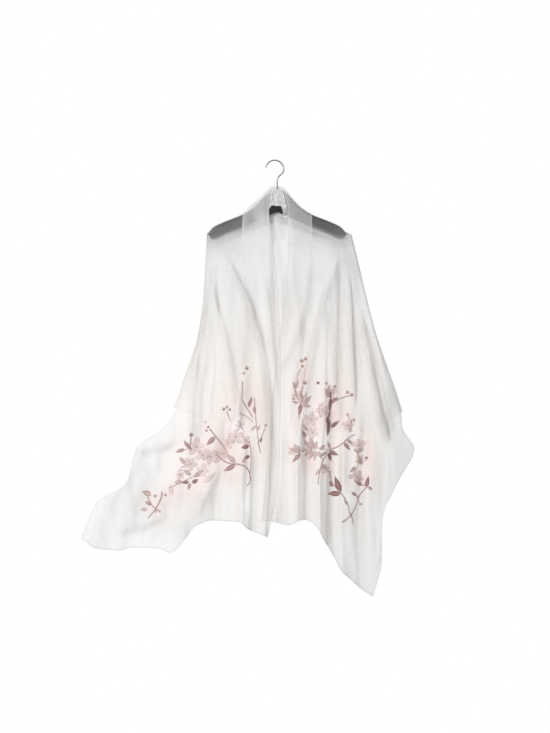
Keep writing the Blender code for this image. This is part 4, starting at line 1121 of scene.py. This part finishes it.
RIGHT_LEAVES = rows_of(
    Leaf,
    (82, -714, 100, 36, 10, 0.75), (84, -717, 75, 37, 10, 0.45), (85, -720, 50, 34, 11, 0.5),
    (81, -720, -15, 26, 10, 0.5), (76, -720, -95, 31, 11, 0.85), (69, -717, 160, 19, 8, 0.6),
    (63, -675, 75, 30, 8, 0.35), (60, -675, 105, 25, 8, 0.3), (161, -699, 120, 28, 11, 0.45),
    (164, -693, 60, 25, 11, 0.5), (161, -687, 95, 24, 10, 0.45), (167, -714, 40, 24, 11, 0.85),
    (164, -700, -94, 46, 10, 0.95), (160, -762, -92, 46, 9, 1), (165, -788, 40, 32, 11, 0.85),
    (159, -779, 105, 25, 11, 1), (82, -779, -50, 26, 8, 0.45), (81, -797, -60, 23, 8, 0.6),
    (76, -859, 165, 35, 12, 0.5), (76, -856, 135, 30, 11, 0.45), (75, -862, -130, 36, 11, 0.8),
    (110, -850, 135, 37, 12, 0.5), (113, -848, 105, 33, 12, 0.4), (116, -850, 70, 25, 11, 0.35),
    (107, -854, -140, 26, 11, 0.5), (113, -856, -115, 29, 11, 0.45), (119, -856, -95, 29, 11, 0.4),
    (125, -856, -60, 26, 11, 0.45), (131, -853, 40, 23, 9, 0.45), (161, -859, -20, 28, 12, 1),
    (159, -862, -75, 27, 11, 0.95), (155, -859, -150, 24, 10, 0.4), (164, -853, 110, 26, 9, 0.5),
    (202, -831, -50, 29, 11, 0.7), (211, -823, -35, 22, 9, 0.4), (193, -976, 110, 48, 17, 0.85),
    (193, -980, -175, 37, 16, 1), (170, -962, 115, 19, 11, 0.95), (269, -965, 80, 36, 11, 1),
    (258, -958, 150, 26, 11, 0.8), (276, -962, -40, 14, 8, 0.7), (239, -987, 145, 18, 9, 0.65),
    (137, -897, -35, 22, 11, 0.4), (134, -909, -130, 23, 9, 0.4), (214, -1013, 130, 19, 8, 0.45),
    (244, -882, -40, 23, 11, 0.3), (238, -903, -140, 23, 11, 0.35), (241, -865, 50, 23, 11, 0.3),
)
RIGHT_BUDS = rows_of(
    Bud,
    (79, -595, 10.7, 0.75), (91, -589, 10.1, 0.9), (83, -610, 8.9, 0.8), (87, -659, 11.2, 0.9),
    (128, -659, 8.9, 1), (213, -687, 9.5, 0.7), (227, -694, 9.5, 0.75), (215, -752, 8.9, 0.55),
    (232, -768, 8.9, 0.55), (269, -879, 7.7, 1), (54, -705, 7.1, 0.6), (254, -1016, 8.3, 0.4),
    (152, -660, 7.7, 0.5), (178, -669, 7.7, 0.7),
)
find_on_right = finder_on(right_cloth)
right_stems = couched_stems("right_front_stems", RIGHT_STEMS, find_on_right)
right_needlework = embroidered("right_front_embroidery", find_on_right, RIGHT_LEAVES, RIGHT_BLOSSOMS,
                               RIGHT_BUDS)


# The studio: a pale round floor below the hem, an even white surround, a soft lamp from the upper
# left and a weaker one from behind, seen from straight in front as in the photograph.
FLOOR_Z = -2
LIGHT_ON_CLOTH = 0.5
LIGHT_TO_CAMERA = 1
LAMP_AIM = (0, 0, -0.6)
IMAGE_WIDTH, IMAGE_HEIGHT = 550, 733
PIXEL = 0.00296
HOOK_PIXEL = (274.7, 160.9)
LENS_MM = 85
SENSOR_MM = 36
SHEER_WALLS = 48
shape = bmesh.new()
bmesh.ops.create_circle(shape, cap_ends=True, segments=96, radius=1)
bmesh.ops.translate(shape, verts=shape.verts, vec=(0, 0, FLOOR_Z))
paint = Recipe("studio_floor_paint", Roughness=0.9)
mottle = paint.noise(paint.place(), 3)
paint.set(Base_Color=paint.tint(mottle, (0.92, 0.92, 0.92, 1), (0.95, 0.95, 0.95, 1)))
floor = put_in_scene("studio_floor", finished_mesh("studio_floor", shape, (paint.material,)))

world = bpy.data.worlds.new("studio_surround")
bpy.context.scene.world = world
world.use_nodes = True
surround = world.node_tree.nodes["Background"]
surround.inputs["Color"].default_value = (1, 1, 1, 1)
seen = world.node_tree.nodes.new("ShaderNodeLightPath")
level = world.node_tree.nodes.new("ShaderNodeMapRange")
level.inputs["To Min"].default_value = LIGHT_ON_CLOTH
level.inputs["To Max"].default_value = LIGHT_TO_CAMERA
world.node_tree.links.new(seen.outputs["Is Camera Ray"], level.inputs["Value"])
world.node_tree.links.new(level.outputs["Result"], surround.inputs["Strength"])


def soft_lamp(name, place, size, power):
    data = bpy.data.lights.new(name, "AREA")
    data.shape = "DISK"
    data.size = size
    data.energy = power
    lamp = put_in_scene(name, data)
    lamp.location = place
    lamp.rotation_euler = (Vector(LAMP_AIM) - Vector(place)).to_track_quat("-Z", "Y").to_euler()


soft_lamp("key_lamp", (-1.9, -2.5, 0.9), 0.9, 66)
soft_lamp("back_lamp", (1.6, 2.6, 1), 1.4, 16)

camera_data = bpy.data.cameras.new("camera")
camera_data.lens = LENS_MM
camera_data.sensor_width = SENSOR_MM
distance = IMAGE_HEIGHT * PIXEL * camera_data.lens / camera_data.sensor_width
camera = put_in_scene("camera", camera_data)
camera.location = ((IMAGE_WIDTH / 2 - HOOK_PIXEL[0]) * PIXEL, -distance,
                   (HOOK_PIXEL[1] - IMAGE_HEIGHT / 2) * PIXEL)
camera.rotation_euler = (math.pi / 2, 0, 0)
bpy.context.scene.camera = camera
bpy.context.scene.view_settings.view_transform = "Standard"
bpy.context.scene.cycles.transparent_max_bounces = SHEER_WALLS
